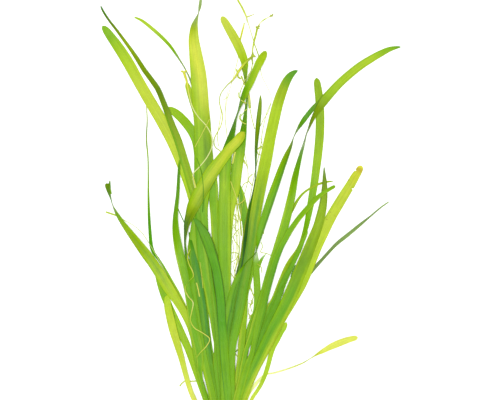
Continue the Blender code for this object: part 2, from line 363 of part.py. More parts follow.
def lay(heap, rings, thick, settle=0.10):
    """Heights of the rings so that the blade clears the heap and sags onto it."""
    xy, width, roll = rings[:, :2], rings[:, 2], np.radians(rings[:, 3])
    side = side_of(xy)
    low_mid = thick / 2
    sample_xy, sample_low, left, part = [], [], [], []
    for i in range(len(rings) - 1):
        steps = max(2, int(np.hypot(*(xy[i + 1] - xy[i])) / 0.7))
        for t in np.linspace(0, 1, steps + 1):
            for u in np.linspace(-0.5, 0.5, 9):
                a = xy[i] + side[i] * u * width[i] * math.cos(roll[i])
                b = xy[i + 1] + side[i + 1] * u * width[i + 1] * math.cos(roll[i + 1])
                za = u * width[i] * math.sin(roll[i]) - low_mid[i]
                zb = u * width[i + 1] * math.sin(roll[i + 1]) - low_mid[i + 1]
                sample_xy.append(a * (1 - t) + b * t)
                sample_low.append(za * (1 - t) + zb * t)
                left.append(i)
                part.append(t)
    sample_xy, sample_low = np.array(sample_xy), np.array(sample_low)
    left, part = np.array(left), np.array(part)
    ground = heap.over(sample_xy)
    need = ground + np.where(ground > 0.01, GAP, 0.0) - sample_low
    z = np.full(len(rings), -99.0)
    np.maximum.at(z, left, need)
    np.maximum.at(z, left + 1, need)
    stretch = np.concatenate([[0.0], np.cumsum(np.hypot(*np.diff(xy, axis=0).T))])
    for turn in range(900):
        if turn < 780:
            gaps = np.diff(stretch)
            pull = (z[:-2] * gaps[1:] + z[2:] * gaps[:-1]) / (gaps[1:] + gaps[:-1])
            z[1:-1] += (pull - z[1:-1]) * 0.5
            z -= settle * (0.3 if turn > 500 else 1.0)
        short = need - (z[left] * (1 - part) + z[left + 1] * part)
        lift = np.zeros(len(z))
        np.maximum.at(lift, left, np.where(short > 0, short * np.maximum(1 - part, 0.3), 0.0))
        np.maximum.at(lift, left + 1, np.where(short > 0, short * np.maximum(part, 0.3), 0.0))
        z += lift
    flat = (np.abs(z - low_mid) < 0.04) & (roll < 0.02)
    z[flat] = low_mid[flat]
    fill_xy, fill_top = [], []
    for i in range(len(rings) - 1):
        steps = max(2, int(np.hypot(*(xy[i + 1] - xy[i])) / 0.35))
        for t in np.linspace(0, 1, steps + 1):
            for u in np.linspace(-0.5, 0.5, 25):
                a = xy[i] + side[i] * u * width[i] * math.cos(roll[i])
                b = xy[i + 1] + side[i + 1] * u * width[i + 1] * math.cos(roll[i + 1])
                za = z[i] + u * width[i] * math.sin(roll[i]) + low_mid[i]
                zb = z[i + 1] + u * width[i + 1] * math.sin(roll[i + 1]) + low_mid[i + 1]
                fill_xy.append(a * (1 - t) + b * t)
                fill_top.append(za * (1 - t) + zb * t)
    heap.add(np.array(fill_xy), np.array(fill_top))
    return z, side


def closed_tube(name, loops, shade):
    """One closed body from loops of equal count, ends capped."""
    mesh = bpy.data.meshes.new(name)
    body = bmesh.new()
    rows = [[body.verts.new(point) for point in loop] for loop in loops]
    count = len(rows[0])
    for a, b in zip(rows[:-1], rows[1:]):
        for k in range(count):
            m = (k + 1) % count
            body.faces.new((a[k], a[m], b[m], b[k]))
    body.faces.new(tuple(reversed(rows[0])))
    body.faces.new(tuple(rows[-1]))
    bmesh.ops.recalc_face_normals(body, faces=body.faces)
    bmesh.ops.triangulate(body, faces=body.faces)
    body.to_mesh(mesh)
    body.free()
    mesh.materials.append(material(*shade))
    item = bpy.data.objects.new(name, mesh)
    bpy.context.scene.collection.objects.link(item)
    return item


def make_leaf(heap, name, colour, route):
    line = curve(to_plant(route))
    rings = line[thin_out(line, ROUTE_TOL, MAX_STEP)]
    rings[:, 2] = np.maximum(rings[:, 2], 0.5)
    thick = np.minimum(BLADE_THICK, 0.22 + rings[:, 2] * 0.12)
    z, side = lay(heap, rings, thick)
    loops = []
    for row, height, across, t in zip(rings, z, side, thick):
        loops.append([(row[0] + across[0] * u, row[1] + across[1] * u, height + v)
                      for u, v in section(row[2], t, row[3])])
    return name, loops, (colour, COLOURS[colour])


def make_stalk(heap, name, _, route):
    line = curve(to_plant(route))
    rings = line[thin_out(line, 0.42, 26.0)]
    rings = np.hstack([rings, np.zeros((len(rings), 1))])
    z, side = lay(heap, rings, rings[:, 2])
    loops = []
    for row, height, across in zip(rings, z, side):
        r = row[2] / 2
        loops.append([(row[0] + across[0] * r * u, row[1] + across[1] * r * u, height + r * v)
                      for u, v in ((-1, 0), (0, -1), (1, 0), (0, 1))])
    return name, loops, ("stalk", COLOURS["stalk"])


def make_crown(height):
    """Short stock that the leaf bases grow from, tapering to the root end."""
    loops = []
    for share, wide, tall in ((0.0, 1.0, 1.0), (0.22, 0.96, 0.93), (0.46, 0.80, 0.78), (0.68, 0.58, 0.60),
                              (0.86, 0.44, 0.46), (1.0, 0.38, 0.38)):
        y = -CROWN_GAP - share * CROWN_LENGTH
        around = [(math.cos(a), math.sin(a)) for a in np.linspace(0, 2 * math.pi, 16, endpoint=False)]
        loops.append([(CROWN_WIDTH / 2 * wide * c * (1 + 0.05 * math.sin(5 * c + 9 * share)), y,
                       height / 2 * tall * (1 + s)) for c, s in around])
    return "crown", loops, ("crown", COLOURS["crown"])


def build():
    clear_scene()
    rows = np.vstack([to_plant(route)[:, :2] for _, _, route in LEAVES]
                     + [to_plant(route)[:, :2] for _, _, route in STALKS])
    heap = Heap(rows.min(axis=0), rows.max(axis=0))
    pieces = []
    for leaf in LEAVES:
        pieces.append(make_leaf(heap, *leaf))
        pieces += [make_stalk(heap, *stalk) for stalk in STALKS if stalk[1] == leaf[0]]
    tallest = max(point[2] for _, loops, _ in pieces for point in loops[-1])
    pieces.append(make_crown(tallest + 0.4))
    every = np.array([point for _, loops, _ in pieces for loop in loops for point in loop])
    low, high = every.min(axis=0), every.max(axis=0)
    shift = np.array([(low[0] + high[0]) / 2, (low[1] + high[1]) / 2, low[2]])
    for name, loops, shade in pieces:
        closed_tube(name, [[tuple((np.array(p) - shift) * 0.001) for p in loop] for loop in loops], shade)


build()
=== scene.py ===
import json
import math
import random

import bmesh
import bpy
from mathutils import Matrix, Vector, noise
from mathutils.bvhtree import BVHTree

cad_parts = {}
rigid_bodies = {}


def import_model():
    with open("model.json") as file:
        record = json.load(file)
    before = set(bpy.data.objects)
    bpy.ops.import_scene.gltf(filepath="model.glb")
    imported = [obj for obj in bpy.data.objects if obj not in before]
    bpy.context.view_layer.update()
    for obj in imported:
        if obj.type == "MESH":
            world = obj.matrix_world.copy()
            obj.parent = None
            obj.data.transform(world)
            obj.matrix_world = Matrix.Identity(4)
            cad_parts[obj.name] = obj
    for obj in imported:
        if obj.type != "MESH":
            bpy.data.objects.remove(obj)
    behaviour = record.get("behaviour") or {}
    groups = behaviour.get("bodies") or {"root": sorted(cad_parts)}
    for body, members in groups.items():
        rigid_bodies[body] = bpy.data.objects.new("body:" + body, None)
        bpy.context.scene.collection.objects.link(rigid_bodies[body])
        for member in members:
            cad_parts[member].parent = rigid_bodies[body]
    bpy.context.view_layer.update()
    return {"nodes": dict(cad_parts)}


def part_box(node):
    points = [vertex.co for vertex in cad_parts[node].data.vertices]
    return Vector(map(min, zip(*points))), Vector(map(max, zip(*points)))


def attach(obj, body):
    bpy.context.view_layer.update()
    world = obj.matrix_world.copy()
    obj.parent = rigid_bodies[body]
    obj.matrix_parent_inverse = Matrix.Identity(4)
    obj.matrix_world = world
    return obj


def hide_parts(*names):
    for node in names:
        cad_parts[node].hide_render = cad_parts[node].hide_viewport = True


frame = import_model()
sceneLinks = bpy.context.scene.collection.objects

# how the photo's pixels lie on the plant, in metres
photo = {"pixel": 0.00065, "column": 226.0, "row": 431.0, "shiftX": 0.0157615, "shiftY": 0.1358823}

# greens and yellows of the plant, as they look on screen
tones = {
    "paleLime": "CFDD56", "lime": "C1D444", "yellowGreen": "B0D138", "fresh": "9CC532", "leaf": "84B92D",
    "grass": "74B22E", "mid": "66A62D", "deep": "549830", "shade": "46802D", "dark": "32662E",
    "vivid": "58A42A", "spring": "69B42F", "bright": "82C32F", "teal": "3C8F40", "oliveShade": "6E8F2A",
    "gold": "E6E74E", "moss": "93B82C", "mossDark": "74A32A", "olive": "A0BC32", "oliveDark": "84A42B",
    "greyGreen": "9DB876", "paleGrey": "CBDFB6", "dusty": "8CAB68", "yellow": "CAD53D", "straw": "DEE466",
    "cream": "ECF2A2", "tan": "C4AE3E", "brown": "8A6A2C", "stalkYellow": "DCE270", "stalkOlive": "B0BE48",
    "hair": "D2E08A", "crown": "CFCB8A", "crownShade": "A8A05A", "crownLight": "E6E6B4"}
leastBlue = 0.002
blueFull = 0.4  # from this much green on, a tone loses all of its lessBlue


def linear(code, lessBlue=0.0):
    # a screen colour as light, with some blue taken out of its greens
    parts = [int(code[i:i + 2], 16) / 255 for i in (0, 2, 4)]
    red, green, blue = [p / 12.92 if p <= 0.04045 else ((p + 0.055) / 1.055) ** 2.4 for p in parts]
    return red, green, max(leastBlue, blue - lessBlue * min(1.0, green / blueFull))


def place(x, y):
    # a photo pixel as metres on the plant
    return ((x - photo["column"]) * photo["pixel"] - photo["shiftX"],
            (photo["row"] - y) * photo["pixel"] - photo["shiftY"])


# leaves, traced from tip to base: photo x, photo y, full width in pixels and roll in degrees;
# nudges, typed with the render beside the photo: photo row, how far sideways, how much wider;
# tones: share of the length and tone; bands: middle and half width across, tone, strength, start and end;
# bites: photo x, photo y, radius in pixels and direction; spur: a thin second tip
leaves = {
    "leaf_right_dusty": {
        "slot": "dusty",
        "tones": [(0, "greyGreen"), (0.1, "dusty"), (0.28, "dusty"), (0.38, "dusty"), (0.55, "leaf"),
            (1, "fresh")],
        "nudges": [[(200, 1, 0.3), (238, 1, 0.3), (250, 0.2, 0.6), (258, -0.1, 0.6), (266, -0.7, 0.4),
            (275, -2.1, 0.3), (290, -3.6, 0), (310, -3, 0)],
            [(236, 0, 0), (244, 0.5, 1), (272, 0.5, 1), (280, 0, 0)]],
        "route": [(388.5, 201.5, 0.9), (380, 207.5, 1.6, 40), (370, 215.8, 3, 60), (360, 224, 3.6, 40),
            (348, 234, 3.8, 25), (335, 244.4, 3.8, 50), (323, 258, 3.8, 55), (311, 274, 4, 40),
            (290, 308, 5), (262, 356, 6), (242, 400, 6)]},
    "leaf_low_right_small": {
        "slot": "pale",
        "tones": [(0, "straw"), (0.2, "straw"), (0.33, "paleLime"), (0.46, "cream"), (0.7, "cream"),
            (0.85, "straw"), (1, "paleLime")],
        "route": [(358, 337.6, 3.6), (355.4, 338.3, 5), (350, 339.6, 6), (343, 342, 6.8), (336, 344.8, 6.8),
            (330, 347.5, 6), (324, 350.8, 4.6), (318, 354, 3.6, 45), (311, 358.3, 2.8, 75),
            (303, 363.1, 2.4, 60), (289, 368.7, 2, 30), (273, 373.5, 1.8), (266, 374.6, 2),
            (261, 378.4, 2.8), (255.4, 385, 3.4), (250.6, 391, 3.2), (246, 400, 3)]},
    "leaf_low_right_blunt": {
        "slot": "mid",
        "tones": [(0, "yellowGreen"), (0.08, "fresh"), (0.3, "yellowGreen"), (0.5, "yellowGreen"),
            (0.72, "paleLime"), (1, "paleLime")],
        "route": [(286.5, 322.5, 3.2), (284, 327.5, 5.6), (281, 332, 6), (277, 340, 5.8), (273, 348, 5.2),
            (270.5, 356, 4.8), (268.5, 364, 4.6), (266.5, 371, 4.5), (264, 378, 4.2), (260.8, 385, 3.9),
            (257.2, 391, 3.7), (252, 399, 3.6)]},
    "leaf_left_edgewise": {
        "slot": "grey",
        "tones": [(0, "hair"), (0.08, "greyGreen"), (0.14, "fresh"), (0.25, "leaf"), (0.35, "vivid"),
            (0.44, "vivid"), (0.5, "leaf"), (0.7, "lime"), (1, "leaf")],
        "nudges": [[(104, -0.3, 0.2), (134, -0.5, 0.5), (160, -0.2, 0.5), (180, -0.3, 0.7), (200, -0.4, 1.2),
            (218, -0.6, 1.4), (236, -0.4, 1.2), (246, -0.3, 0.8), (252, 0, 0.5), (260, 0.2, 0.6),
            (269, 0.2, 0.8), (280, 0, 0)]],
        "route": [(146.4, 104, 1, 30), (147.4, 120, 1.1, 35), (146.8, 134, 1.4, 40), (146.8, 142, 1.5, 40),
            (148, 158, 1.3, 45), (148.4, 180, 1.4, 45), (148.6, 196, 1.7, 45), (149.5, 218, 2.3, 40),
            (150.4, 235, 2.8, 35), (151.4, 246, 3.3, 25), (153.4, 252.6, 3, 20), (158.6, 260, 2, 10),
            (164.2, 269, 2.1, 10), (170.4, 280, 3.4, 10), (181.8, 303, 5.6), (192.2, 330, 6),
            (195, 340, 5.4), (198, 375, 4.6), (205, 400, 4.6)]},
    "leaf_left_under": {
        "slot": "deep",
        "tones": [(0, "fresh"), (0.12, "leaf"), (0.3, "fresh"), (0.6, "fresh"), (0.8, "leaf"), (1, "fresh")],
        "nudges": [[(277, 0, 0), (283, 0.4, -0.8), (308, 0.4, -0.8), (318, 0, 0), (330, 0, 0),
            (340, 0.35, -0.7), (356, 0.35, -0.7), (366, 0, 0)]],
        "route": [(155.5, 275, 1.6), (158.3, 282, 5.5), (163, 294, 8), (168.5, 307, 8.6), (174.5, 320, 8.8),
            (180.5, 333, 8.6), (186.5, 346, 8.2), (191.5, 359, 7.8), (196.5, 372, 7.4), (206, 400, 6.4)]},
    "leaf_arching_thin": {
        "slot": "grey_thin",
        "tones": [(0, "yellowGreen"), (0.04, "yellowGreen"), (0.08, "fresh"), (0.12, "leaf"),
            (0.16, "greyGreen"), (0.3, "greyGreen"), (0.5, "leaf"), (1, "leaf")],
        "nudges": [[(15, 0.4, 0.8), (50, 0.2, 0.3), (60, 0, 0)],
            [(115, 0, 0), (170, -1.5, 0), (240, -6, -1), (320, 0, 0)]],
        "route": [(133.5, 16.7, 0.8), (140, 19.5, 1.9), (145, 22.9, 2.5), (150, 26.9, 2.8), (160, 35.6, 3),
            (170, 46, 3, 25), (175, 53, 3, 40), (180, 60.4, 3, 55), (185, 68.7, 3, 65), (189, 77, 3.2, 60),
            (194, 90, 4, 30), (200, 115, 5), (206, 170, 6), (212, 240, 6), (218, 320, 6), (221, 400, 6)]},
    "leaf_small_behind_tall": {
        "slot": "mid",
        "tones": [(0, "lime"), (0.05, "fresh"), (0.12, "leaf"), (0.4, "mid"), (1, "leaf")],
        "nudges": [[(84, 0, 0), (90, 0.1, -0.3), (118, 0.1, -0.3), (126, 0, 0), (180, 0, 0), (192, -0.8, 0),
            (235, -0.8, 0), (250, 0, 0)]],
        "route": [(186.3, 81.5, 1.2), (187.2, 85, 4.6), (189, 91, 6), (192, 100, 6.8), (196.5, 114, 7.2),
            (201, 135, 7.6), (205, 170, 7.6), (206.4, 192, 7), (206.8, 201, 5.6), (205, 212, 5.4),
            (204, 220, 5.4), (204.2, 226, 5.4), (206, 233, 5.6), (209, 245, 6), (213, 275, 6.6),
            (217, 330, 7), (222, 400, 6.4)]},
    "leaf_arched_left": {
        "slot": "mid",
        "tones": [(0, "fresh"), (0.12, "leaf"), (0.25, "fresh"), (0.4, "leaf"), (0.7, "grass"), (1, "leaf")],
        "nudges": [[(120, 0.6, 0), (150, 0, 0), (260, 0, 0), (290, -1.7, -3.4), (325, -1.7, -3.4),
            (347, -1.5, -2.6), (375, 0, 0)],
            [(108, 0, 0), (113, 0, 0.8), (136, 0, 0.8), (142, 0.4, 0), (156, 0.5, -0.6), (168, 0, 0),
            (295, 0, 0), (305, 0.3, 0.6), (350, 0.3, 0.6), (358, 0, 0)]],
        "route": [(166.5, 107.4, 2.4), (169.5, 109.3, 6), (175, 112.9, 7.4), (181, 118.3, 8),
            (187, 125, 8.2), (192, 132, 8.4), (195.6, 140, 9), (198, 152, 10), (200, 170, 11),
            (201, 200, 11), (201, 240, 10.5), (204, 290, 10), (210, 345, 8.5), (218, 400, 7)]},
    "leaf_left_broad": {
        "slot": "bright",
        "tones": [(0, "leaf"), (0.03, "leaf"), (0.06, "fresh"), (0.1, "yellowGreen"), (0.16, "lime"),
            (0.32, "lime"), (0.42, "yellowGreen"), (0.6, "fresh"), (1, "fresh")],
        "nudges": [[(25, -0.6, 0), (32, 0.2, -0.4), (45, 0.5, -0.4), (100, 0.5, 0), (110, 0.9, 0),
            (195, 0.9, 0), (250, 0, 0), (275, 0.6, -1.5), (300, 2.7, -4), (320, 3, -4), (345, 5.4, -3.6),
            (375, 2, -1)],
            [(62, 0, 0), (70, -0.6, -0.5), (115, -0.6, -0.5), (124, 0, 0)]],
        "route": [(102.6, 25.6, 3), (105.5, 29.5, 7.2), (110, 36.2, 9.2), (117, 46.2, 10.6),
            (126.2, 60.4, 11.4), (137.5, 79.5, 11.7), (149, 99.5, 11.8), (161, 121, 11.8), (172, 142, 11.8),
            (182, 165.5, 11.6), (190.5, 190, 11.4), (197, 215, 11), (201.5, 245, 10.5), (206, 280, 10),
            (210, 320, 9), (213, 360, 8), (215, 400, 7)]},
    "leaf_left_long": {
        "slot": "olive",
        "tones": [(0, "shade"), (0.04, "oliveShade"), (0.1, "olive"), (0.16, "oliveDark"),
            (0.24, "oliveShade"), (0.3, "oliveDark"), (0.38, "moss"), (0.5, "fresh"), (1, "fresh")],
        "bands": [(0.1, 0.16, "mid", 0.6, 0.29, 0.38), (0.25, 0.25, "leaf", 0.75, 0.5, 0.6),
            (0.06, 0.14, "grass", 0.6, 0.27, 0.62), (0.95, 0.12, "shade", 0.35, 0, 0.3),
            (0.62, 0.13, "oliveDark", 0.5, 0.38, 0.5)],
        "nudges": [[(5, 0.7, 0), (40, 0.3, 0), (115, 0.2, 0), (130, 0, 0), (205, 0, 0), (222, -2.4, 2),
            (235, -3.4, 3), (250, -2.6, 3), (275, 0.6, -1.5), (300, 2.4, -3.6), (320, 2.8, -3.6),
            (345, 4, -3.4), (375, 1.5, -1)],
            [(5, -1, 0), (20, -0.9, 0), (34, -0.3, 0), (40, 0, 0), (220, 0, 0), (230, -0.8, 1.6),
            (240, -2.2, 4.4), (250, -3.6, 7.2), (260, -3.6, 7.2), (282, 0, 0)]],
        "route": [(100.6, 5.3, 1.4), (103, 10.5, 2.2, 20), (109, 19.8, 3, 40), (116.5, 30, 3.8, 45),
            (123.5, 40, 4.4, 45), (131, 50.3, 4.8, 42), (137.5, 60, 5.2, 34), (144, 70.2, 5.6, 30),
            (151, 79.6, 5.8, 28), (157.5, 89, 6, 25), (162, 99.4, 6, 22), (166.3, 110.5, 6.2, 15),
            (171.8, 125, 6.8), (178, 140.5, 7.6), (184, 160, 8), (190, 180, 8.2), (197, 206, 8.4),
            (202, 240, 8.6), (207, 280, 8.6), (211, 330, 8), (216, 400, 7)]},
    "leaf_centre_under": {
        "slot": "deep",
        "tones": [(0, "leaf"), (0.12, "grass"), (0.3, "leaf"), (0.6, "grass"), (1, "leaf")],
        "bands": [(0.05, 0.2, "lime", 0.5, 0.27, 0.34), (0.1, 0.2, "deep", 0.15, 0.1, 0.26),
            (0.9, 0.12, "yellowGreen", 0.6, 0.06, 0.2), (0.06, 0.14, "fresh", 0.7, 0.27, 0.4),
            (0.9, 0.15, "fresh", 0.5, 0.2, 0.9)],
        "nudges": [[(188, 0.2, -0.4), (204, 0.4, -0.7), (218, 0.7, -1.2), (240, 0.8, -1.5), (260, 0, 0)],
            [(165, 0, 0), (173, 0.6, 0.8), (188, 0.6, 0.8), (197, -0.2, 0.6), (210, -0.4, 0.9),
            (236, -0.4, 0.9), (246, 0, 0)]],
        "route": [(205.5, 130, 1.2), (207, 142, 6), (209.5, 162, 8.4), (212.5, 188, 8.8), (214.3, 215, 8.6),
            (216, 245, 8.6), (219, 285, 8.4), (222, 340, 8), (225, 400, 7)]},
    "leaf_pointed_behind_right": {
        "slot": "deep",
        "tones": [(0, "mid"), (0.12, "grass"), (0.24, "deep"), (0.35, "deep"), (0.5, "mid"), (1, "leaf")],
        "bands": [(0.88, 0.16, "yellowGreen", 0.6, 0, 0.1), (0.1, 0.16, "mid", 0.5, 0.04, 0.2),
            (0.92, 0.14, "shade", 0.5, 0.14, 0.4), (0.05, 0.12, "lime", 0.4, 0.3, 0.9)],
        "nudges": [[(182, 0, 0), (195, -0.6, 1.2), (205, -0.8, 1.8), (215, -0.2, 0.8), (235, 0.4, -0.6),
            (265, 0, 0)],
            [(196, 0, 0), (203, -0.4, 0.8), (243, -0.4, 0.8), (250, 0, 0), (336, 0, 0), (345, -0.3, -0.6),
            (362, -0.4, -0.8), (372, 0, 0)]],
        "route": [(238.7, 182.6, 1), (240.2, 188.5, 4), (242.3, 197, 5.6), (244, 206.5, 6.2),
            (245.6, 218, 6.4), (246.3, 232, 6.6), (245, 250, 6.8), (240, 285, 7), (234, 330, 7),
            (231, 400, 6.4)]},
    "leaf_small_hooked": {
        "slot": "mid",
        "tones": [(0, "paleGrey"), (0.06, "leaf"), (0.3, "leaf"), (0.6, "leaf"), (1, "fresh")],
        "spur": [(266.4, 253.6, 0.7), (264.2, 256, 1.7), (261.8, 259.2, 2.9), (260, 262.8, 3.4),
            (258.8, 267, 3), (258.2, 271, 1.2)],
        "route": [(256.7, 251.6, 1.5), (256.2, 256, 4.2), (255.6, 262, 7.2), (256, 270, 7.2),
            (256.8, 280, 7), (257.2, 290, 7), (257.4, 302, 7), (256.4, 312, 7), (254.4, 317.5, 7),
            (251, 326, 7), (248, 337, 7.2), (244, 358, 6.8), (239, 400, 6.2)]},
    "leaf_pale_tip": {
        "slot": "pale_tip",
        "tones": [(0, "paleLime"), (0.08, "lime"), (0.12, "yellowGreen"), (0.16, "leaf"), (0.22, "grass"),
            (0.3, "mid"), (0.36, "fresh"), (0.5, "yellowGreen"), (0.62, "leaf"), (1, "leaf")],
        "bands": [(0.08, 0.12, "deep", 0.55, 0.34, 0.8), (0.75, 0.2, "lime", 0.3, 0.36, 0.62),
            (0.6, 0.14, "fresh", 0.35, 0.36, 0.5), (0.35, 0.08, "grass", 0.4, 0.34, 0.9)],
        "nudges": [[(16, 0.3, 0), (30, 0.7, 0), (90, 0.7, 0), (120, 0, 0), (195, 0, 0), (205, -2.6, 0),
            (215, -3.6, 0), (300, -4, 0), (330, 0, 0)],
            [(15, -1, 1.2), (20, -0.4, 0.4), (27, -0.3, 0), (56, -0.3, 0), (62, -0.3, 0.4), (71, -1.4, 3),
            (81, -1.6, 2), (91, -0.3, 0), (100, 0, 0), (148, 0, 0), (154, -0.5, 1), (164, -0.5, 1),
            (170, -0.3, 0.6), (178, -0.3, 0.6), (186, 0, 0)]],
        "route": [(222, 16.2, 3), (223.9, 20, 6.4), (227.5, 26.6, 8.2), (232, 34.5, 9), (236.6, 43, 9.2),
            (240.6, 52, 9, 10), (243.9, 61.5, 8.6, 35), (245.6, 71, 8.2, 62), (246.3, 81, 8, 78),
            (246.6, 91, 8, 84), (246.2, 101, 8, 76), (245.2, 113, 8.2, 66), (243.9, 126, 8.8, 50),
            (241.6, 141, 9.6, 25), (239.3, 155, 10.2), (237, 170, 10.4), (234.8, 188, 10.2), (233, 208, 9.8),
            (231.2, 235, 9.2), (230, 275, 8.6), (229.5, 330, 8), (229, 400, 6.8)]},
    "leaf_strip_right": {
        "slot": "bright",
        "tones": [(0, "mid"), (0.25, "leaf"), (0.35, "fresh"), (0.6, "leaf"), (0.85, "yellowGreen"),
            (1, "paleLime")],
        "bands": [(0.1, 0.15, "lime", 0.4, 0.1, 0.9), (0.85, 0.18, "leaf", 0.8, 0.08, 0.35),
            (0.25, 0.14, "lime", 0.5, 0.44, 0.6)],
        "nudges": [[(344, 0, 0), (350, 0.2, -0.3), (362, 0.3, -0.4), (370, 0, 0)]],
        "route": [(250.7, 246, 1.4), (250.9, 256, 4.2), (250.5, 270, 5.4), (249.6, 278, 5.6),
            (247.6, 286, 5.6), (245.8, 294, 5.4), (245, 302, 5.6), (244.4, 312, 6.4), (243.4, 322, 6.6),
            (241.6, 342, 6.8), (238.8, 370, 6.4), (237, 400, 6)]},
    "leaf_torn_left": {
        "slot": "mid",
        # the greyGreen where the blade turns edge-on near its tip is a painted highlight
        "tones": [(0, "oliveShade"), (0.06, "deep"), (0.085, "greyGreen"), (0.12, "leaf"), (0.18, "fresh"),
            (0.26, "moss"), (0.36, "fresh"), (0.44, "yellowGreen"), (0.57, "yellowGreen"), (0.7, "leaf"),
            (1, "fresh")],
        "bands": [(0.5, 0.14, "teal", 0.45, 0.2, 0.42), (0.92, 0.08, "deep", 0.5, 0.1, 0.2),
            (0.9, 0.1, "yellowGreen", 0.4, 0.18, 0.32), (0.9, 0.14, "lime", 0.5, 0.36, 0.54),
            (0.4, 0.2, "lime", 0.3, 0.2, 0.6)],
        "bites": [(106.8, 182.2, 1.2, -1.3)],
        "step": 0.0006,
        "spur": [(109.8, 180.1, 0.6), (109.5, 182.4, 1.6), (109.4, 186, 2.2), (109.8, 190, 2.4),
            (110.6, 194, 2)],
        "nudges": [[(182, -0.6, 0), (210, -0.8, 0), (230, -0.5, 0), (255, -0.3, 0), (268, 0.9, -1),
            (290, 0.7, -1), (301, 1.6, -3.2), (316, 2.2, -4.2), (333, 1.9, -3.8), (346, 0.8, -1.6),
            (360, -0.8, -1.2), (375, -3.4, -3.8), (387, -3.9, -4.2), (400, -3.6, -2.6)],
            [(210, 0, 0), (224, 0, -0.9), (250, 0.3, -1.4), (258, 0, -1.4), (270, 0, -1.2), (280, 0, -0.8),
            (300, -0.2, -0.5), (306, 0, 0), (378, 0, 0), (384, 0.3, -0.5), (400, 0.3, -0.5)]],
        "route": [(107.1, 182.9, 4.6), (108, 187, 5.4, 30), (109.4, 192.5, 5.4, 52), (111.3, 199, 5.4, 76),
            (112.9, 204.6, 5.6, 82), (115.5, 210.5, 6.4, 68), (119, 216.6, 7.4, 56), (124, 224.3, 8.6, 48),
            (130, 232.6, 9.6, 38), (137, 242, 10.6, 28), (144.3, 251.7, 11.4, 15), (152, 262.5, 12),
            (160, 275.5, 12.4), (168, 288, 12.4), (176, 301.5, 12.2), (184, 316.5, 12), (191, 333, 11.4),
            (197, 352, 10.4), (203, 375, 9), (210, 400, 7.4)]},
    "leaf_low_left_pale": {
        "slot": "pale",
        "tones": [(0, "yellowGreen"), (0.2, "lime"), (0.42, "lime"), (0.55, "paleLime"), (0.68, "straw"),
            (0.85, "straw"), (1, "cream")],
        "nudges": [[(295, -0.3, 0), (330, -0.8, 0), (380, -1, 0), (400, -0.7, 0)]],
        "route": [(167, 295.2, 3.4), (167.5, 299, 6), (168.3, 306, 7.4), (170.9, 318, 8), (174.1, 330.5, 8),
            (178, 343.5, 7.2), (181.8, 356, 6.2), (185, 368, 5.4), (188.2, 380, 5), (191.2, 390, 4.8),
            (195.2, 400, 4.8)]},
    "leaf_tall": {
        "slot": "tall",
        "tones": [(0, "greyGreen"), (0.07, "greyGreen"), (0.09, "olive"), (0.115, "lime"),
            (0.14, "paleLime"), (0.2, "paleLime"), (0.26, "lime"), (0.32, "fresh"), (0.4, "leaf"),
            (0.5, "grass"), (0.62, "grass"), (0.72, "grass"), (1, "grass")],
        "bands": [(0.1, 0.34, "fresh", 0.65, 0.18, 0.27), (0.45, 0.16, "leaf", 0.25, 0.27, 0.36),
            (0.35, 0.3, "gold", 0.45, 0.115, 0.18), (0.9, 0.16, "paleLime", 0.4, 0.06, 0.26),
            (0.1, 0.16, "fresh", 0.5, 0.15, 0.3), (0.62, 0.14, "oliveDark", 0.4, 0.29, 0.42),
            (0.74, 0.2, "shade", 0.6, 0.335, 0.385), (0.6, 0.14, "gold", 0.35, 0.15, 0.22),
            (0.88, 0.16, "oliveDark", 0.3, 0.27, 0.38), (0.9, 0.12, "fresh", 0.6, 0.42, 0.52),
            (0.1, 0.12, "grass", 0.4, 0.3, 0.42), (0.88, 0.16, "vivid", 0.6, 0.52, 0.72),
            (0.66, 0.12, "yellowGreen", 0.4, 0.54, 0.7), (0.08, 0.13, "vivid", 0.55, 0.44, 0.6),
            (0.3, 0.12, "fresh", 0.6, 0.38, 0.48), (0.06, 0.12, "yellowGreen", 0.6, 0.64, 0.76)],
        "nudges": [[(10, 0, 0), (30, -0.3, 0), (60, -0.5, 0), (105, -0.5, -0.3), (120, 0.1, 0),
            (150, 0.2, 0), (185, 0, 0), (204, -1.3, -2.8), (230, -0.5, -1.4), (256, 0, 0), (290, 0, 0),
            (320, 1, -2), (335, 1.6, -3.2), (345, 2.2, -4.2), (352, 1.9, -3.4), (370, 0.4, -1), (400, 0, 0)],
            [(122, 0, 0), (128, -0.4, -0.8), (142, -0.4, -0.8), (148, 0.1, 1.1), (160, 0.1, 1.1),
            (168, -0.2, 0.4), (174, 0, 0), (295, 0, 0), (305, -0.3, 0.6), (350, -0.3, 0.6), (358, 0, 0)]],
        "route": [(201.3, -12, 0.9), (200.9, -4, 2), (200.2, 3, 3.2, 20), (199.3, 8.5, 4.2, 55),
            (198.4, 12.5, 4.8, 80), (197.1, 16.5, 5.2, 62), (195.7, 21, 6, 40), (194.5, 26, 7.6, 22),
            (194, 33, 9.2, 10), (194.2, 41, 10.8), (195.6, 51, 12.4), (197.2, 62, 14.2), (199, 76, 15.8),
            (200.2, 92, 16.6), (201.2, 108, 16.8), (202.4, 124, 17), (203.3, 142, 18), (203.4, 160, 18),
            (203, 180, 17.6), (202.6, 204, 16.4), (202.4, 230, 14.4), (203.8, 256, 12.4), (207, 278, 11),
            (210.6, 298, 10.2), (213.4, 320, 9.6), (215, 345, 9), (216.6, 372, 8.2), (218.4, 400, 7.2)]},
    "leaf_twisted_centre": {
        "slot": "deep_edge",
        "tones": [(0, "yellowGreen"), (0.04, "yellowGreen"), (0.08, "fresh"), (0.12, "grass"), (0.2, "mid"),
            (0.25, "deep"), (0.3, "mid"), (0.36, "fresh"), (0.5, "leaf"), (0.65, "grass"), (1, "grass")],
        "bands": [(0.85, 0.2, "leaf", 0.6, 0.29, 0.38), (0.03, 0.12, "dark", 0.6, 0.14, 0.3),
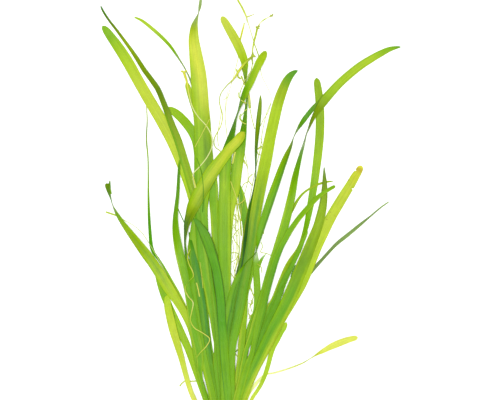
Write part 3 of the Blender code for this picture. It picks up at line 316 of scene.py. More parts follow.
            (0.85, 0.2, "yellowGreen", 0.5, 0.02, 0.13), (0.3, 0.2, "grass", 0.35, 0.04, 0.14),
            (0.06, 0.13, "grass", 0.5, 0.25, 0.9), (0.9, 0.14, "bright", 0.3, 0.26, 0.37),
            (0.45, 0.12, "yellowGreen", 0.3, 0.26, 0.36), (0.52, 0.2, "grass", 0.4, 0.4, 0.7),
            (0.92, 0.13, "yellowGreen", 0.5, 0.38, 0.66)],
        "nudges": [[(50, 0.8, 0), (62, 0.6, -0.4), (70, -0.3, -2), (85, -0.3, -2.2), (94, 0, -1),
            (105, 0.5, 0), (125, 0.8, 0), (140, 1.4, 0), (155, 0.4, 0), (165, 0, 0)],
            [(150, 0, 0), (156, 0.4, 0.8), (168, 0.5, 0.5), (176, 0.9, -0.2), (194, 0.5, -1), (204, 0, 0)]],
        "route": [(265.2, 50.6, 3.4), (263.3, 54.5, 6.8), (259.8, 60.8, 8.6), (256, 70.5, 9.2),
            (251.6, 80.6, 9.4), (246.8, 89.8, 9.2, 25), (243, 98, 9, 48), (239.6, 106, 8.8, 70),
            (237, 113, 8.8, 80), (234.7, 120, 8.8, 74), (232.6, 128, 9, 60), (230, 136.3, 9.4, 45),
            (227.6, 145, 10, 30), (225.6, 156, 10.8, 12), (224.4, 170, 11.4), (224.2, 190, 12.2),
            (224.2, 212, 12.8), (224.4, 238, 13), (224.9, 268, 12), (225.7, 300, 10.6), (226.4, 345, 9),
            (227.2, 400, 7)]},
    "leaf_right_nibbled": {
        "slot": "yellow_right",
        "tones": [(0, "gold"), (0.015, "tan"), (0.03, "yellow"), (0.05, "yellow"), (0.07, "lime"),
            (0.12, "lime"), (0.22, "lime"), (0.4, "yellowGreen"), (0.6, "fresh"), (0.8, "yellowGreen"),
            (1, "fresh")],
        "bands": [(0.6, 0.2, "tan", 0.2, 0, 0.09), (0.93, 0.1, "lime", 0.5, 0.2, 0.9),
            (0.06, 0.1, "leaf", 0.3, 0.1, 0.5)],
        "spots": 0.25,
        "bites": [(355.6, 170.2, 0.8, -0.5), (352.9, 188.6, 1.0, 2.9)],
        "step": 0.0004,
        "nudges": [[(165, -0.8, 0), (240, -0.6, -0.2), (250, -0.7, -1.4), (290, -0.7, -1.4),
            (305, -1.4, -2.8), (320, -1.4, -2.8), (345, -0.6, -1.2), (356, -0.8, -1.4), (370, -1, -1.8),
            (385, -0.8, -1.4), (400, 0, 0)]],
        "route": [(362.4, 165.6, 3.6), (361.6, 167.4, 6), (359.7, 171, 7.2), (356, 176.8, 8.6),
            (351, 185.4, 9.4), (345, 195, 10), (339, 204.8, 10.4), (331.6, 217.4, 10.6),
            (324.6, 231.5, 10.8), (317.7, 247, 11), (310.6, 264.8, 11.2), (302.4, 283.6, 11.4),
            (293.4, 301, 11.6), (284, 317, 11.6), (274.5, 333.4, 11.2), (265.6, 350, 10.6), (257, 368, 9.6),
            (249, 386, 8.6), (243.6, 400, 7.6)]},
    "leaf_right_upright": {
        "slot": "bright_right",
        "tones": [(0, "moss"), (0.12, "moss"), (0.22, "fresh"), (0.32, "leaf"), (0.47, "grass"),
            (0.6, "mid"), (1, "leaf")],
        "bands": [(0.25, 0.2, "lime", 0.5, 0.44, 0.56), (0.04, 0.1, "lime", 0.6, 0.45, 0.95),
            (0.9, 0.1, "yellowGreen", 0.4, 0.14, 0.3), (0.1, 0.25, "leaf", 0.3, 0.06, 0.16)],
        "nudges": [[(80, 0.6, 0), (90, 0.3, 0), (180, 0.3, 0), (215, 0.3, -0.3), (226, 0.6, -1),
            (238, 0.2, -0.3), (248, 0, 0), (264, -3, 4), (281, -3.2, 4.2), (300, -2.4, 3.4), (310, -3, 4.6),
            (325, -2.4, 4), (350, 0, 0)],
            [(250, 0, 0), (264, -0.6, -1.4), (281, -1.1, -2.2), (300, -0.5, -1), (312, 0, 0)]],
        "route": [(316, 77.6, 3.6), (316.6, 81.5, 6.4), (317.8, 88.5, 7.6), (319, 98, 8.2),
            (319.8, 110, 8.6), (319.9, 123, 8.8), (319.4, 137, 8.8), (317.9, 153, 8.6), (316, 169, 8.2),
            (313.8, 185, 7.8), (311, 201, 7.2), (307.8, 217.5, 6.6, 20), (304, 233.5, 6.4, 35),
            (299.5, 248.4, 6.4, 35), (294, 264, 6.4, 25), (287, 281.5, 6.6), (275, 308, 7), (261, 342, 7.4),
            (248, 376, 7), (240, 400, 6.6)]},
    "leaf_right_sliver": {
        "slot": "deep",
        "tones": [(0, "leaf"), (0.1, "grass"), (0.3, "mid"), (0.6, "mid"), (1, "leaf")],
        "nudges": [[(272, 0, 0), (282, -0.2, -0.4), (288, -0.6, -1.2), (300, -0.6, -1.2), (308, 0, 0)]],
        "route": [(307.6, 231.5, 1.8), (304.6, 238, 2.8), (301.6, 244.5, 3.4), (297.6, 252.5, 4),
            (293.9, 261.5, 4.4), (290.4, 268, 4), (286.2, 275, 4.4), (282.4, 283, 4.4), (280.6, 287, 4.8),
            (281.4, 290.6, 7), (279, 298, 6.4), (272, 312, 6.2), (258, 345, 6.8), (239, 400, 6.2)]},
    "leaf_right_thin_olive": {
        "slot": "olive",
        "tones": [(0, "olive"), (0.1, "olive"), (0.22, "oliveDark"), (0.3, "leaf"), (0.4, "mid"),
            (1, "leaf")],
        "route": [(333.6, 181.2, 1), (326, 182, 2.1), (318, 184.4, 2.2), (310, 188.4, 2),
            (303.4, 193.2, 2.2), (298.4, 199, 2.6), (293.6, 207.5, 3), (288.6, 217, 3.2), (284.6, 228, 3.6),
            (279.4, 246, 4.2), (270, 278, 5.4), (257.4, 323, 6.2), (254.4, 340, 5.6), (252.2, 352, 5.2),
            (248.4, 368, 5.6), (240, 400, 6)]},
    "leaf_right_olive": {
        "slot": "olive_right",
        "tones": [(0, "dusty"), (0.03, "oliveShade"), (0.09, "oliveDark"), (0.14, "moss"), (0.24, "moss"),
            (0.35, "mossDark"), (0.5, "leaf"), (0.6, "grass"), (0.72, "grass"), (1, "fresh")],
        "bands": [(0.05, 0.1, "yellowGreen", 0.3, 0.24, 0.4), (0.93, 0.12, "oliveShade", 0.7, 0, 0.1),
            (0.88, 0.16, "oliveDark", 0.55, 0.14, 0.28), (0.92, 0.13, "yellowGreen", 0.5, 0.36, 0.5),
            (0.93, 0.12, "paleLime", 0.5, 0.64, 1), (0.07, 0.12, "oliveShade", 0.7, 0, 0.14),
            (0.92, 0.13, "lime", 0.5, 0.5, 1), (0.72, 0.12, "yellowGreen", 0.5, 0.58, 1),
            (0.64, 0.12, "vivid", 0.6, 0.44, 0.57), (0.42, 0.14, "vivid", 0.5, 0.44, 0.78)],
        "nudges": [[(215, 0, 0), (227, 0.4, -0.8), (300, 0.45, -0.9), (320, 0, 0)],
            [(267, 0, 0), (276, -0.5, 1), (296, -0.5, 1), (306, 0, 0)]],
        "route": [(324.3, 166.6, 0.9), (324.4, 174, 2.8), (324.7, 183, 4.8), (324.3, 194, 6.6),
            (323, 205, 8), (320.8, 215.5, 9), (317.2, 227, 10.2), (312.4, 239.5, 11.4), (306.4, 254.5, 12.4),
            (299.8, 271.5, 12.8), (291.6, 291.5, 12.8), (282.4, 310.5, 12.6), (272.4, 330.5, 12.2),
            (262.4, 351, 11.2), (253, 370.5, 9.8), (245.6, 387, 8.6), (241, 400, 7.4)]},
    "leaf_dark_left": {
        "slot": "deep",
        "tones": [(0, "deep"), (0.12, "deep"), (0.3, "deep"), (0.6, "mid"), (1, "leaf")],
        "bands": [(0.1, 0.14, "leaf", 0.6, 0.06, 0.3), (0.85, 0.2, "teal", 0.6, 0.12, 0.6),
            (0.08, 0.1, "shade", 0.5, 0.4, 0.8), (0.5, 0.12, "grass", 0.4, 0.2, 0.9)],
        "route": [(188.8, 231.6, 1), (190.3, 238.7, 2.8), (191.4, 245, 3.6), (192.6, 251, 4.6),
            (193, 257.5, 7.4), (194.6, 266, 8.8), (197.8, 282, 9), (202, 305, 7.8), (206, 340, 7.4),
            (214.6, 400, 6.6)]},
    "leaf_right_dark_upright": {
        "slot": "dark",
        "tones": [(0, "oliveDark"), (0.04, "oliveDark"), (0.12, "oliveDark"), (0.2, "deep"), (0.3, "deep"),
            (0.36, "shade"), (0.42, "dark"), (0.52, "dark"), (0.58, "shade"), (0.64, "deep"), (0.75, "mid"),
            (1, "leaf")],
        "bands": [(0.05, 0.2, "lime", 0.8, 0.36, 0.46), (0.9, 0.2, "shade", 0.4, 0.06, 0.14),
            (0.05, 0.15, "shade", 0.6, 0, 0.3), (0.95, 0.12, "dark", 0.5, 0.3, 0.6),
            (0.35, 0.12, "grass", 0.5, 0.45, 0.8), (0.9, 0.16, "shade", 0.4, 0.04, 0.2)],
        "nudges": [[(238, 0, 0), (247, 0.4, -0.7), (262, 0.4, -0.7), (270, 0, 0)]],
        "route": [(260.5, 94.8, 0.9), (260.4, 100, 2.8), (259.6, 110, 4.2), (258.1, 124, 5, 20),
            (256.7, 138, 5.4, 45), (255.8, 152, 5.6, 62), (255.6, 165, 5.6, 75), (255.3, 177, 5.6, 80),
            (254, 189, 5.8, 70), (251.6, 201, 6, 60), (248.9, 213.5, 6.2, 50), (246.6, 226, 6.4, 42),
            (244.6, 240, 6.4, 35), (242.2, 258, 6.6, 20), (238.4, 279, 6.8), (234, 302, 7), (230.4, 335, 7),
            (230, 400, 6.4)]},
    "leaf_right_broad": {
        "slot": "bright_right",
        "tones": [(0, "deep"), (0.03, "mid"), (0.07, "olive"), (0.12, "yellowGreen"), (0.24, "yellowGreen"),
            (0.34, "moss"), (0.42, "moss"), (0.5, "mossDark"), (0.6, "mid"), (0.72, "grass"), (1, "leaf")],
        "bands": [(0.05, 0.1, "paleLime", 0.35, 0.05, 0.38), (0.94, 0.12, "yellowGreen", 0.5, 0.1, 0.32),
            (0.45, 0.18, "oliveDark", 0.35, 0.42, 0.62), (0.06, 0.15, "shade", 0.65, 0.42, 0.7),
            (0.6, 0.14, "deep", 0.7, 0.36, 0.5), (0.25, 0.15, "deep", 0.5, 0.5, 0.72)],
        "nudges": [[(70, -0.8, 0), (140, -0.6, 0.2), (152, -0.3, 0.9), (215, -0.3, 0.9), (242, 0, 0),
            (264, -0.6, -1.2), (276, -0.8, -1), (289, -1, -0.4), (300, -1.1, -0.3), (312, -1.4, -0.8),
            (330, -2.8, -1.3), (346, -4, -1.8), (367, -3.4, -1.6), (400, -1, 0)]],
        "route": [(298.8, 70.2, 1.4), (295.6, 71.8, 4.2), (291.4, 75.2, 6.8), (287.6, 80.6, 8.4),
            (284.2, 88, 9.4), (280.8, 97, 10.2), (277.6, 107.5, 10.6), (274.4, 121, 10.9), (270.6, 138, 11),
            (266.8, 156.5, 11), (262.7, 176.5, 10.8), (258.8, 196.5, 10.4), (255, 219, 10.2),
            (251.6, 242, 10.2), (248, 264, 10.4), (243.6, 289, 10.6), (239.6, 316, 10.4), (236.4, 346, 9.4),
            (232.4, 400, 7.2)]},
    "leaf_right_crossing": {
        "slot": "deep_edge",
        # the greyGreen and paleGrey where the blade turns edge-on are a painted highlight
        "tones": [(0, "oliveDark"), (0.05, "deep"), (0.1, "mid"), (0.12, "greyGreen"), (0.135, "paleGrey"),
            (0.16, "moss"), (0.25, "grass"), (0.36, "grass"), (0.5, "grass"), (0.6, "mid"), (0.72, "mid"),
            (1, "leaf")],
        "bands": [(0.9, 0.18, "shade", 0.6, 0.1, 0.45), (0.2, 0.14, "yellowGreen", 0.45, 0.12, 0.3),
            (0.92, 0.14, "shade", 0.5, 0.46, 0.72), (0.06, 0.1, "fresh", 0.6, 0.46, 0.56),
            (0.3, 0.16, "leaf", 0.5, 0.56, 0.7), (0.62, 0.07, "shade", 0.75, 0.64, 1.1),
            (0.28, 0.16, "leaf", 0.6, 0.7, 1.1)],
        "nudges": [[(98, 0.3, -0.5), (113, 0.5, -1), (122, 0, -0.8), (130, 0.2, 0), (140, 0.6, 0),
            (150, 1, 0), (216, 1.1, -0.3), (232, 0, 0)]],
        "route": [(321.9, 98.2, 1.4), (317.9, 102.4, 4), (312.4, 108.4, 5.4), (306, 116.6, 5.8),
            (300.6, 124.4, 6, 45), (295.8, 131.8, 6.4, 76), (292.5, 138.5, 6.8, 84), (289.8, 145.6, 7, 66),
            (285.8, 154.6, 7.2, 45), (281.1, 166.4, 7.4, 28), (275.7, 181.6, 7.8, 15), (270, 197.6, 8.2),
            (264.4, 214.6, 8), (260, 232, 6.6), (258.2, 241, 4.4, 20), (256.9, 248, 2.6, 50),
            (255.6, 252.6, 2.6, 68), (252.2, 256.4, 2.6, 72), (248.6, 259.6, 2.6, 70),
            (245.4, 263.2, 2.6, 62), (242.6, 267.6, 3, 40), (239.6, 273.4, 4.4, 15), (236.8, 280, 6),
            (234.6, 287, 7.4), (232.2, 296, 8.4), (229.4, 310, 8.6), (226.6, 328, 8.2), (224.6, 355, 7.8),
            (224.4, 400, 6.8)]},
    "leaf_right_arc": {
        "slot": "arc",
        # the greyGreen and paleGrey where the blade turns edge-on are a painted highlight
        "tones": [(0, "deep"), (0.03, "leaf"), (0.07, "yellowGreen"), (0.13, "yellowGreen"), (0.2, "fresh"),
            (0.235, "oliveDark"), (0.28, "oliveDark"), (0.305, "greyGreen"), (0.33, "paleGrey"),
            (0.36, "spring"), (0.42, "leaf"), (0.5, "leaf"), (0.65, "grass"), (1, "leaf")],
        "bands": [(0.6, 0.45, "grass", 0.5, 0.33, 0.41), (0.05, 0.1, "grass", 0.4, 0, 0.15),
            (0.9, 0.12, "oliveDark", 0.25, 0.1, 0.3), (0.04, 0.08, "shade", 0.75, 0.21, 0.26),
            (0.96, 0.07, "oliveShade", 0.6, 0.25, 0.3), (0.9, 0.14, "deep", 0.35, 0.5, 0.9),
            (0.1, 0.12, "leaf", 0.5, 0.58, 0.7), (0.1, 0.12, "lime", 0.45, 0.72, 0.95),
            (0.88, 0.16, "olive", 0.4, 0, 0.1), (0.08, 0.14, "yellowGreen", 0.5, 0.36, 0.56)],
        "nudges": [[(46, 0.8, 0), (110, 0.6, 0), (125, 0, 0), (135, -0.8, 0), (180, -0.8, 0), (200, 0, 0),
            (305, 0, 0), (318, -0.4, 0.8), (336, -2, -2.2), (350, -3.4, -4), (362, -2.4, -2.6), (380, 0, 0)],
            [(70, 0, 0), (76, 0.3, -0.5), (95, 0.3, -0.5), (103, 0, 0), (109, 0.2, -1.4), (112, 0.3, -2.5),
            (118, 0.3, -1.8), (126, 0.3, -0.2), (132, 0, 0)]],
        "route": [(400.4, 46.6, 1.2), (396, 47.2, 3), (389, 49, 5), (380, 53.3, 6.6), (370, 59, 7.4),
            (360, 65.4, 7.9), (349.5, 73.5, 8.4), (339.5, 82.3, 8.8), (330.6, 91.8, 9.2),
            (322.6, 101.4, 9.2), (316.4, 110.6, 8.8, 30), (312, 119, 8.2, 55), (309, 127, 7.8, 74),
            (307, 134, 7.6, 84), (305, 142, 7.6, 76), (302.4, 151, 7.6, 66), (299.4, 162, 7.6, 55),
            (296, 176, 7.8, 38), (292.6, 191.6, 8, 20), (288.6, 209, 8.4), (284, 227, 8.8),
            (278.6, 245.4, 9), (273.2, 263, 9.2), (267.2, 284, 9.2), (260.6, 309, 9), (253, 337, 8.6),
            (245, 366, 8), (236.4, 400, 6.8)]},
    "leaf_right_blunt_thin": {
        "slot": "mid",
        "tones": [(0, "leaf"), (0.05, "leaf"), (0.12, "leaf"), (0.3, "grass"), (0.4, "mid"), (0.7, "leaf"),
            (1, "fresh")],
        "bands": [(0.92, 0.12, "lime", 0.3, 0, 0.24), (0.1, 0.16, "leaf", 0.5, 0.2, 0.6),
            (0.9, 0.17, "deep", 0.6, 0.28, 0.7), (0.45, 0.2, "mid", 0.5, 0.66, 0.78),
            (0.65, 0.15, "grass", 0.7, 0.74, 0.92)],
        "nudges": [[(185, 0, 0), (190, 1, 0), (205, 1.6, 0.4), (235, 1.8, 0.6), (258, 1, 0.4), (275, 0, 0),
            (298, 0, 0), (308, 0.5, 1.2), (322, 0.6, 0.8), (340, 1.6, -1.4), (352, 2.2, -1.8),
            (362, 1.4, -0.8), (380, 0, 0)]],
        "route": [(335.2, 185.8, 2.4), (333.5, 186.7, 3.2), (329.2, 188.9, 3.5), (322, 193, 3.7),
            (314, 199.4, 4.5), (306, 208, 4.8), (298, 217, 4.7), (291, 226.5, 4.8), (285, 236, 5.2),
            (279.6, 246.5, 5.6), (275.2, 258, 6.2), (271.2, 274, 6.6), (265.4, 296, 6.8), (257, 326, 6.8),
            (247, 362, 6.6), (238, 400, 6.2)]},
    "leaf_folded_yellow": {
        "slot": "yellow",
        "tones": [(0, "lime"), (0.04, "lime"), (0.14, "yellowGreen"), (0.22, "moss"), (0.28, "moss"),
            (0.31, "oliveDark"), (0.34, "shade"), (0.36, "shade"), (0.41, "mid"), (0.5, "grass"),
            (1, "leaf")],
        "bands": [(0.85, 0.22, "shade", 0.6, 0.325, 0.375), (0.45, 0.25, "gold", 0.3, -0.02, 0.08),
            (0.6, 0.2, "tan", 0.12, -0.02, 0.06), (0.86, 0.17, "oliveDark", 0.6, 0.15, 0.38),
            (0.85, 0.16, "fresh", 0.45, 0, 0.15), (0.08, 0.14, "fresh", 0.6, 0.05, 0.24),
            (0.22, 0.18, "fresh", 0.85, 0.12, 0.28), (0.6, 0.2, "yellow", 0.6, 0.04, 0.18),
            (0.45, 0.18, "lime", 0.5, 0.08, 0.28), (0.45, 0.16, "oliveDark", 0.3, 0.3, 0.45),
            (0.25, 0.14, "yellowGreen", 0.5, 0.74, 0.9)],
        "nudges": [[(136, 0, 0), (141, 0.6, -0.6), (165, 0.6, -0.6), (175, 0, 0), (215, 0, 0),
            (226, -0.5, 0.9), (246, -0.5, 0.9), (256, 0, 0), (360, 0, 0), (378, 0.5, -0.9), (400, 0.5, -1)],
            [(140, 0, 0), (148, -0.3, -0.6), (162, -0.3, -0.6), (170, 0, 0), (365, 0, 0), (372, -0.4, 1),
            (396, -0.2, 0.8)]],
        "route": [(244.4, 132, 4), (241.6, 135.4, 8.4), (237, 141, 10.4), (231, 147.4, 11.4),
            (224.6, 155.4, 12.4), (218, 163.8, 13.2), (211.2, 173.6, 13.8), (205, 184, 14),
            (199, 194.6, 13.8), (193.6, 205.4, 13, 15), (189.6, 215, 12, 40), (187, 224, 11, 58),
            (185.8, 233, 10, 70), (185.3, 242, 9, 78), (186, 253, 8.2, 70), (188.2, 268, 8, 40),
            (191.4, 288, 8, 10), (195.6, 315, 8), (202, 350, 7.6), (213, 400, 6.8)]},
    "leaf_left_front": {
        "slot": "mid",
        "tones": [(0, "leaf"), (0.06, "mid"), (0.22, "grass"), (0.32, "leaf"), (0.5, "grass"), (1, "grass")],
        "bands": [(0.5, 0.5, "deep", 0.45, 0, 0.08), (0.05, 0.1, "paleLime", 0.35, 0.3, 0.9),
            (0.85, 0.15, "deep", 0.3, 0.3, 0.6), (0.85, 0.14, "yellowGreen", 0.4, 0.64, 0.8)],
        "nudges": [[(158, 0, 0), (170, -0.3, 0.2), (200, -0.1, 0.2), (212, 0.1, 0.2), (235, 0, 0.4),
            (248, 0, 0.2), (258, 0.2, 0), (275, 0.7, -1), (292, 1, -2), (305, 0.6, -1), (320, 0, 0),
            (357, -0.4, -0.8), (373, -3.2, -3.8), (387, -3.8, -4.6), (400, -2.6, -3.8)]],
        "route": [(180, 158.8, 1), (179.2, 168, 3.4, 45), (178.6, 181, 5, 52), (177.7, 195, 5.8, 52),
            (176, 209, 6.4, 48), (175.3, 221, 7, 38), (176, 232.6, 7.6, 25), (177.8, 244, 8.2, 15),
            (180.2, 256, 8.8), (183.6, 273, 9.2), (187.2, 291, 9.4), (191, 309, 9.4), (195.2, 331, 9),
            (200.4, 357, 8.4), (209.6, 400, 7)]},
    "leaf_centre_short": {
        "slot": "deep_edge",
        "tones": [(0, "deep"), (0.1, "mid"), (0.3, "vivid"), (0.5, "vivid"), (0.6, "grass"), (1, "grass")],
        # the dark bands along both edges are painted shadow lines between this blade and its neighbours
        "bands": [(0.97, 0.07, "dark", 0.7, 0.04, 0.5), (0.02, 0.07, "dark", 0.75, 0.03, 0.5),
            (0.03, 0.08, "teal", 0.7, 0.5, 0.8), (0.45, 0.12, "vivid", 0.3, 0.1, 0.9),
            (0.8, 0.1, "spring", 0.5, 0.18, 0.4)],
        "nudges": [[(219, 0, 0), (225, -0.4, -1.2), (232, -0.3, 0.6), (240, 0, 0.9), (250, 0.5, -0.2),
            (262, 1.3, -0.3), (270, 1.9, -0.9), (290, 1.2, 0), (312, 0, 0)]],
        "route": [(193.8, 218.6, 1.4), (197, 221.6, 5.4), (201, 227, 7.8), (204.8, 234, 9.2),
            (208.3, 243.6, 9.8), (211.4, 255, 9.9), (214.6, 270, 9.8), (217.8, 286.6, 9.4), (220.8, 305, 9),
            (223, 334, 8.6), (225.6, 368, 8), (228.4, 400, 7)]},
}

blade = {"step": 0.0013, "sides": 26, "thickness": 0.075, "cupping": 0.05, "edgeWave": 0.03, "rest": 0.0004,
         "waves": 30.0, "moreWaves": 6, "waveKinds": 7, "wavePhase": 1.7, "streakShift": 3.7, "smoothing": 6,
         "tipLength": 0.55, "tipLeast": 0.25, "leastWidth": 0.5, "spurStep": 0.0005, "spurSpan": 0.15}
base = {"row": 431.0, "intoCrown": 4.0, "reach": 0.0125, "gather": 0.72, "neckRow": 415.5, "neckLean": 0.45,
        "neckWidth": 0.80, "crownWidth": 0.64, "endLean": 0.93, "endWidth": 0.6}
knotGap = {"rows": 20, "clear": 6, "thinnest": 0.8}  # where a knot adds a row, in pixels, and the least width


def crownEnd(route):
    # a route with its base led into the crown
    rows = [list(row) for row in route]
    last = rows[-1]
    lean = last[0] - photo["column"]
    reach = base["reach"] / photo["pixel"]
    atCrown = reach * math.tanh(lean * base["gather"] / reach)
    neck = lean * base["neckLean"] + atCrown * (1 - base["neckLean"])
    ends = [(neck, base["neckRow"], base["neckWidth"]), (atCrown, base["row"], base["crownWidth"]),
            (atCrown * base["endLean"], base["row"] + base["intoCrown"], base["endWidth"])]
    for sideways, row, narrower in ends:
        rows.append([photo["column"] + sideways, row, last[2] * narrower, *last[3:]])
    return rows


def offsetAt(knots, row):
    # sideways and wider at one photo row, straight between the knots
    if row <= knots[0][0]:
        return knots[0][1:]
    for a, b in zip(knots[:-1], knots[1:]):
        if row <= b[0]:
            share = (row - a[0]) / (b[0] - a[0])
            return [p + (q - p) * share for p, q in zip(a[1:], b[1:])]
    return knots[-1][1:]


def nudged(route, knots):
    # a traced route moved sideways and made wider, with rows added at knots in a long gap
    rows = []
    for a, b in zip(route[:-1], route[1:]):
        rows.append(a)
        for knot in knots:
            inside = a[1] + knotGap["clear"] < knot[0] < b[1] - knotGap["clear"]
            if b[1] - a[1] > knotGap["rows"] and inside:
                share = (knot[0] - a[1]) / (b[1] - a[1])
                rows.append([p + (q - p) * share for p, q in zip(a, b)])
    moved = []
    for row in rows + [route[-1]]:
        sideways, wider = offsetAt(knots, row[1])
        moved.append([row[0] + sideways, row[1], max(knotGap["thinnest"], row[2] + wider), row[3]])
    return moved


def withRoll(route):
    # a row without a roll lies flat
    return [[*row, 0][:4] for row in route]


def leafRoute(leaf):
    route = withRoll(leaf["route"])
    for knots in leaf.get("nudges", ()):
        route = nudged(route, knots)
    return crownEnd(route)


def travelled(spots):
    # how far along the line each place is
    gone = [0.0]
    for a, b in zip(spots[:-1], spots[1:]):
        gone.append(gone[-1] + math.hypot(b[0] - a[0], b[1] - a[1]))
    return gone


def smoothRoute(rows, step):
    # a smooth curve through the rows of a route, every column at once
    count = len(rows[0])
    first = [2 * a - b for a, b in zip(rows[0], rows[1])]
    final = [2 * a - b for a, b in zip(rows[-1], rows[-2])]
    points = [first] + [list(row) for row in rows] + [final]
    legs = [math.hypot(b[0] - a[0], b[1] - a[1]) for a, b in zip(points[:-1], points[1:])]
    knots = [0.0]
    for leg in legs:
        knots.append(knots[-1] + math.sqrt(leg))
    made = []
    for i in range(1, len(points) - 2):
        a, b, c, d = points[i - 1:i + 3]
        ta, tb, tc, td = knots[i - 1:i + 3]
        into = [((q - p) / (tb - ta) - (r - p) / (tc - ta) + (r - q) / (tc - tb)) * (tc - tb)
                for p, q, r in zip(a, b, c)]
        away = [((r - q) / (tc - tb) - (s - q) / (td - tb) + (s - r) / (td - tc)) * (tc - tb)
                for q, r, s in zip(b, c, d)]
        steps = max(2, math.ceil(legs[i] * photo["pixel"] / step))
        for k in range(steps):
            u = k / steps
            made.append([(2 * u**3 - 3 * u**2 + 1) * b[n] + (u**3 - 2 * u**2 + u) * into[n]
                         + (3 * u**2 - 2 * u**3) * c[n] + (u**3 - u**2) * away[n] for n in range(count)])
    made.append(list(rows[-1]))
    return made


farOff = 0.2  # where rays start above or below the plant


def treeOf(nodes):
    # the solids of these nodes, ready for rays
    points, faces = [], []
    for node in nodes:
        start = len(points)
        points += [v.co.copy() for v in node.data.vertices]
        faces += [tuple(start + k for k in p.vertices) for p in node.data.polygons]
    return BVHTree.FromPolygons(points, faces)


def topOf(tree, x, y):
    return tree.ray_cast(Vector((x, y, farOff)), Vector((0, 0, -1)))[0]


def middleHeight(tree, x, y):
    top = topOf(tree, x, y)
    low = tree.ray_cast(Vector((x, y, -farOff)), Vector((0, 0, 1)))[0]
    return (top.z + low.z) / 2 if top and low else None


def filled(values, spread):
    # gaps in a row of heights taken from their neighbours, then the row smoothed
    known = [i for i, v in enumerate(values) if v is not None]
    out = []
    for i in range(len(values)):
        if values[i] is not None:
            out.append(values[i])
            continue
        before = max([k for k in known if k < i], default=known[0])
        after = min([k for k in known if k > i], default=known[-1])
        share = 0.0 if after == before else (i - before) / (after - before)
        out.append(values[before] * (1 - share) + values[after] * share)
    for _ in range(spread):
        out = [out[0]] + [(a + 2 * b + c) / 4 for a, b, c in zip(out[:-2], out[1:-1], out[2:])] + [out[-1]]
    return out


def fillRamp(ramp, stops):
    while len(ramp.elements) < len(stops):
        ramp.elements.new(0.5)
    for element, (position, colour) in zip(ramp.elements, stops):
        element.position = position
        element.color = colour


class Wire:
    # one socket of a node tree: sums add Math nodes, and node() adds any other kind
    def __init__(self, tree, socket=None):
        self.tree, self.socket = tree, socket

    def node(self, kind, settings=None, values=None, out=0):
        made = self.tree.nodes.new(kind)
        for name, value in (settings or {}).items():
            if name == "stops":
                fillRamp(made.color_ramp, value)
            else:
                setattr(made, name, value)
        for name, value in (values or {}).items():
            socket = made.inputs[name]
            if isinstance(value, Wire):
                self.tree.links.new(value.socket, socket)
            else:
                socket.default_value = value
        if out is None:
            return None
        if isinstance(out, tuple):
            return [Wire(self.tree, made.outputs[name]) for name in out]
        return Wire(self.tree, made.outputs[out])

    def math(self, operation, *values):
        return self.node("ShaderNodeMath", {"operation": operation}, dict(enumerate(values)))

    def __add__(self, other):
        return self.math("ADD", self, other)

    def __radd__(self, other):
        return self.math("ADD", other, self)

    def __sub__(self, other):
        return self.math("SUBTRACT", self, other)

    def __rsub__(self, other):
        return self.math("SUBTRACT", other, self)

    def __mul__(self, other):
        return self.math("MULTIPLY", self, other)

    def __rmul__(self, other):
        return self.math("MULTIPLY", other, self)

    def size(self):
        return self.math("ABSOLUTE", self)

    def sine(self):
        return self.math("SINE", self)

    def between(self, low, high):
        return self.node("ShaderNodeMapRange", {"interpolation_type": "SMOOTHSTEP"},
                         {"Value": self, "From Min": low, "From Max": high})


ribbonInputs = {"Line": ("Geometry", None), "Sides": ("Int", 24), "Thickness": ("Float", 0.08),
                "Cupping": ("Float", 0.0), "Edge wave": ("Float", 0.0), "Waves": ("Float", 20.0),
                "Phase": ("Float", 0.0), "Finish": ("Material", None)}
ribbonForm = {"cupMiddle": 0.3, "waveSlant": 0.9}


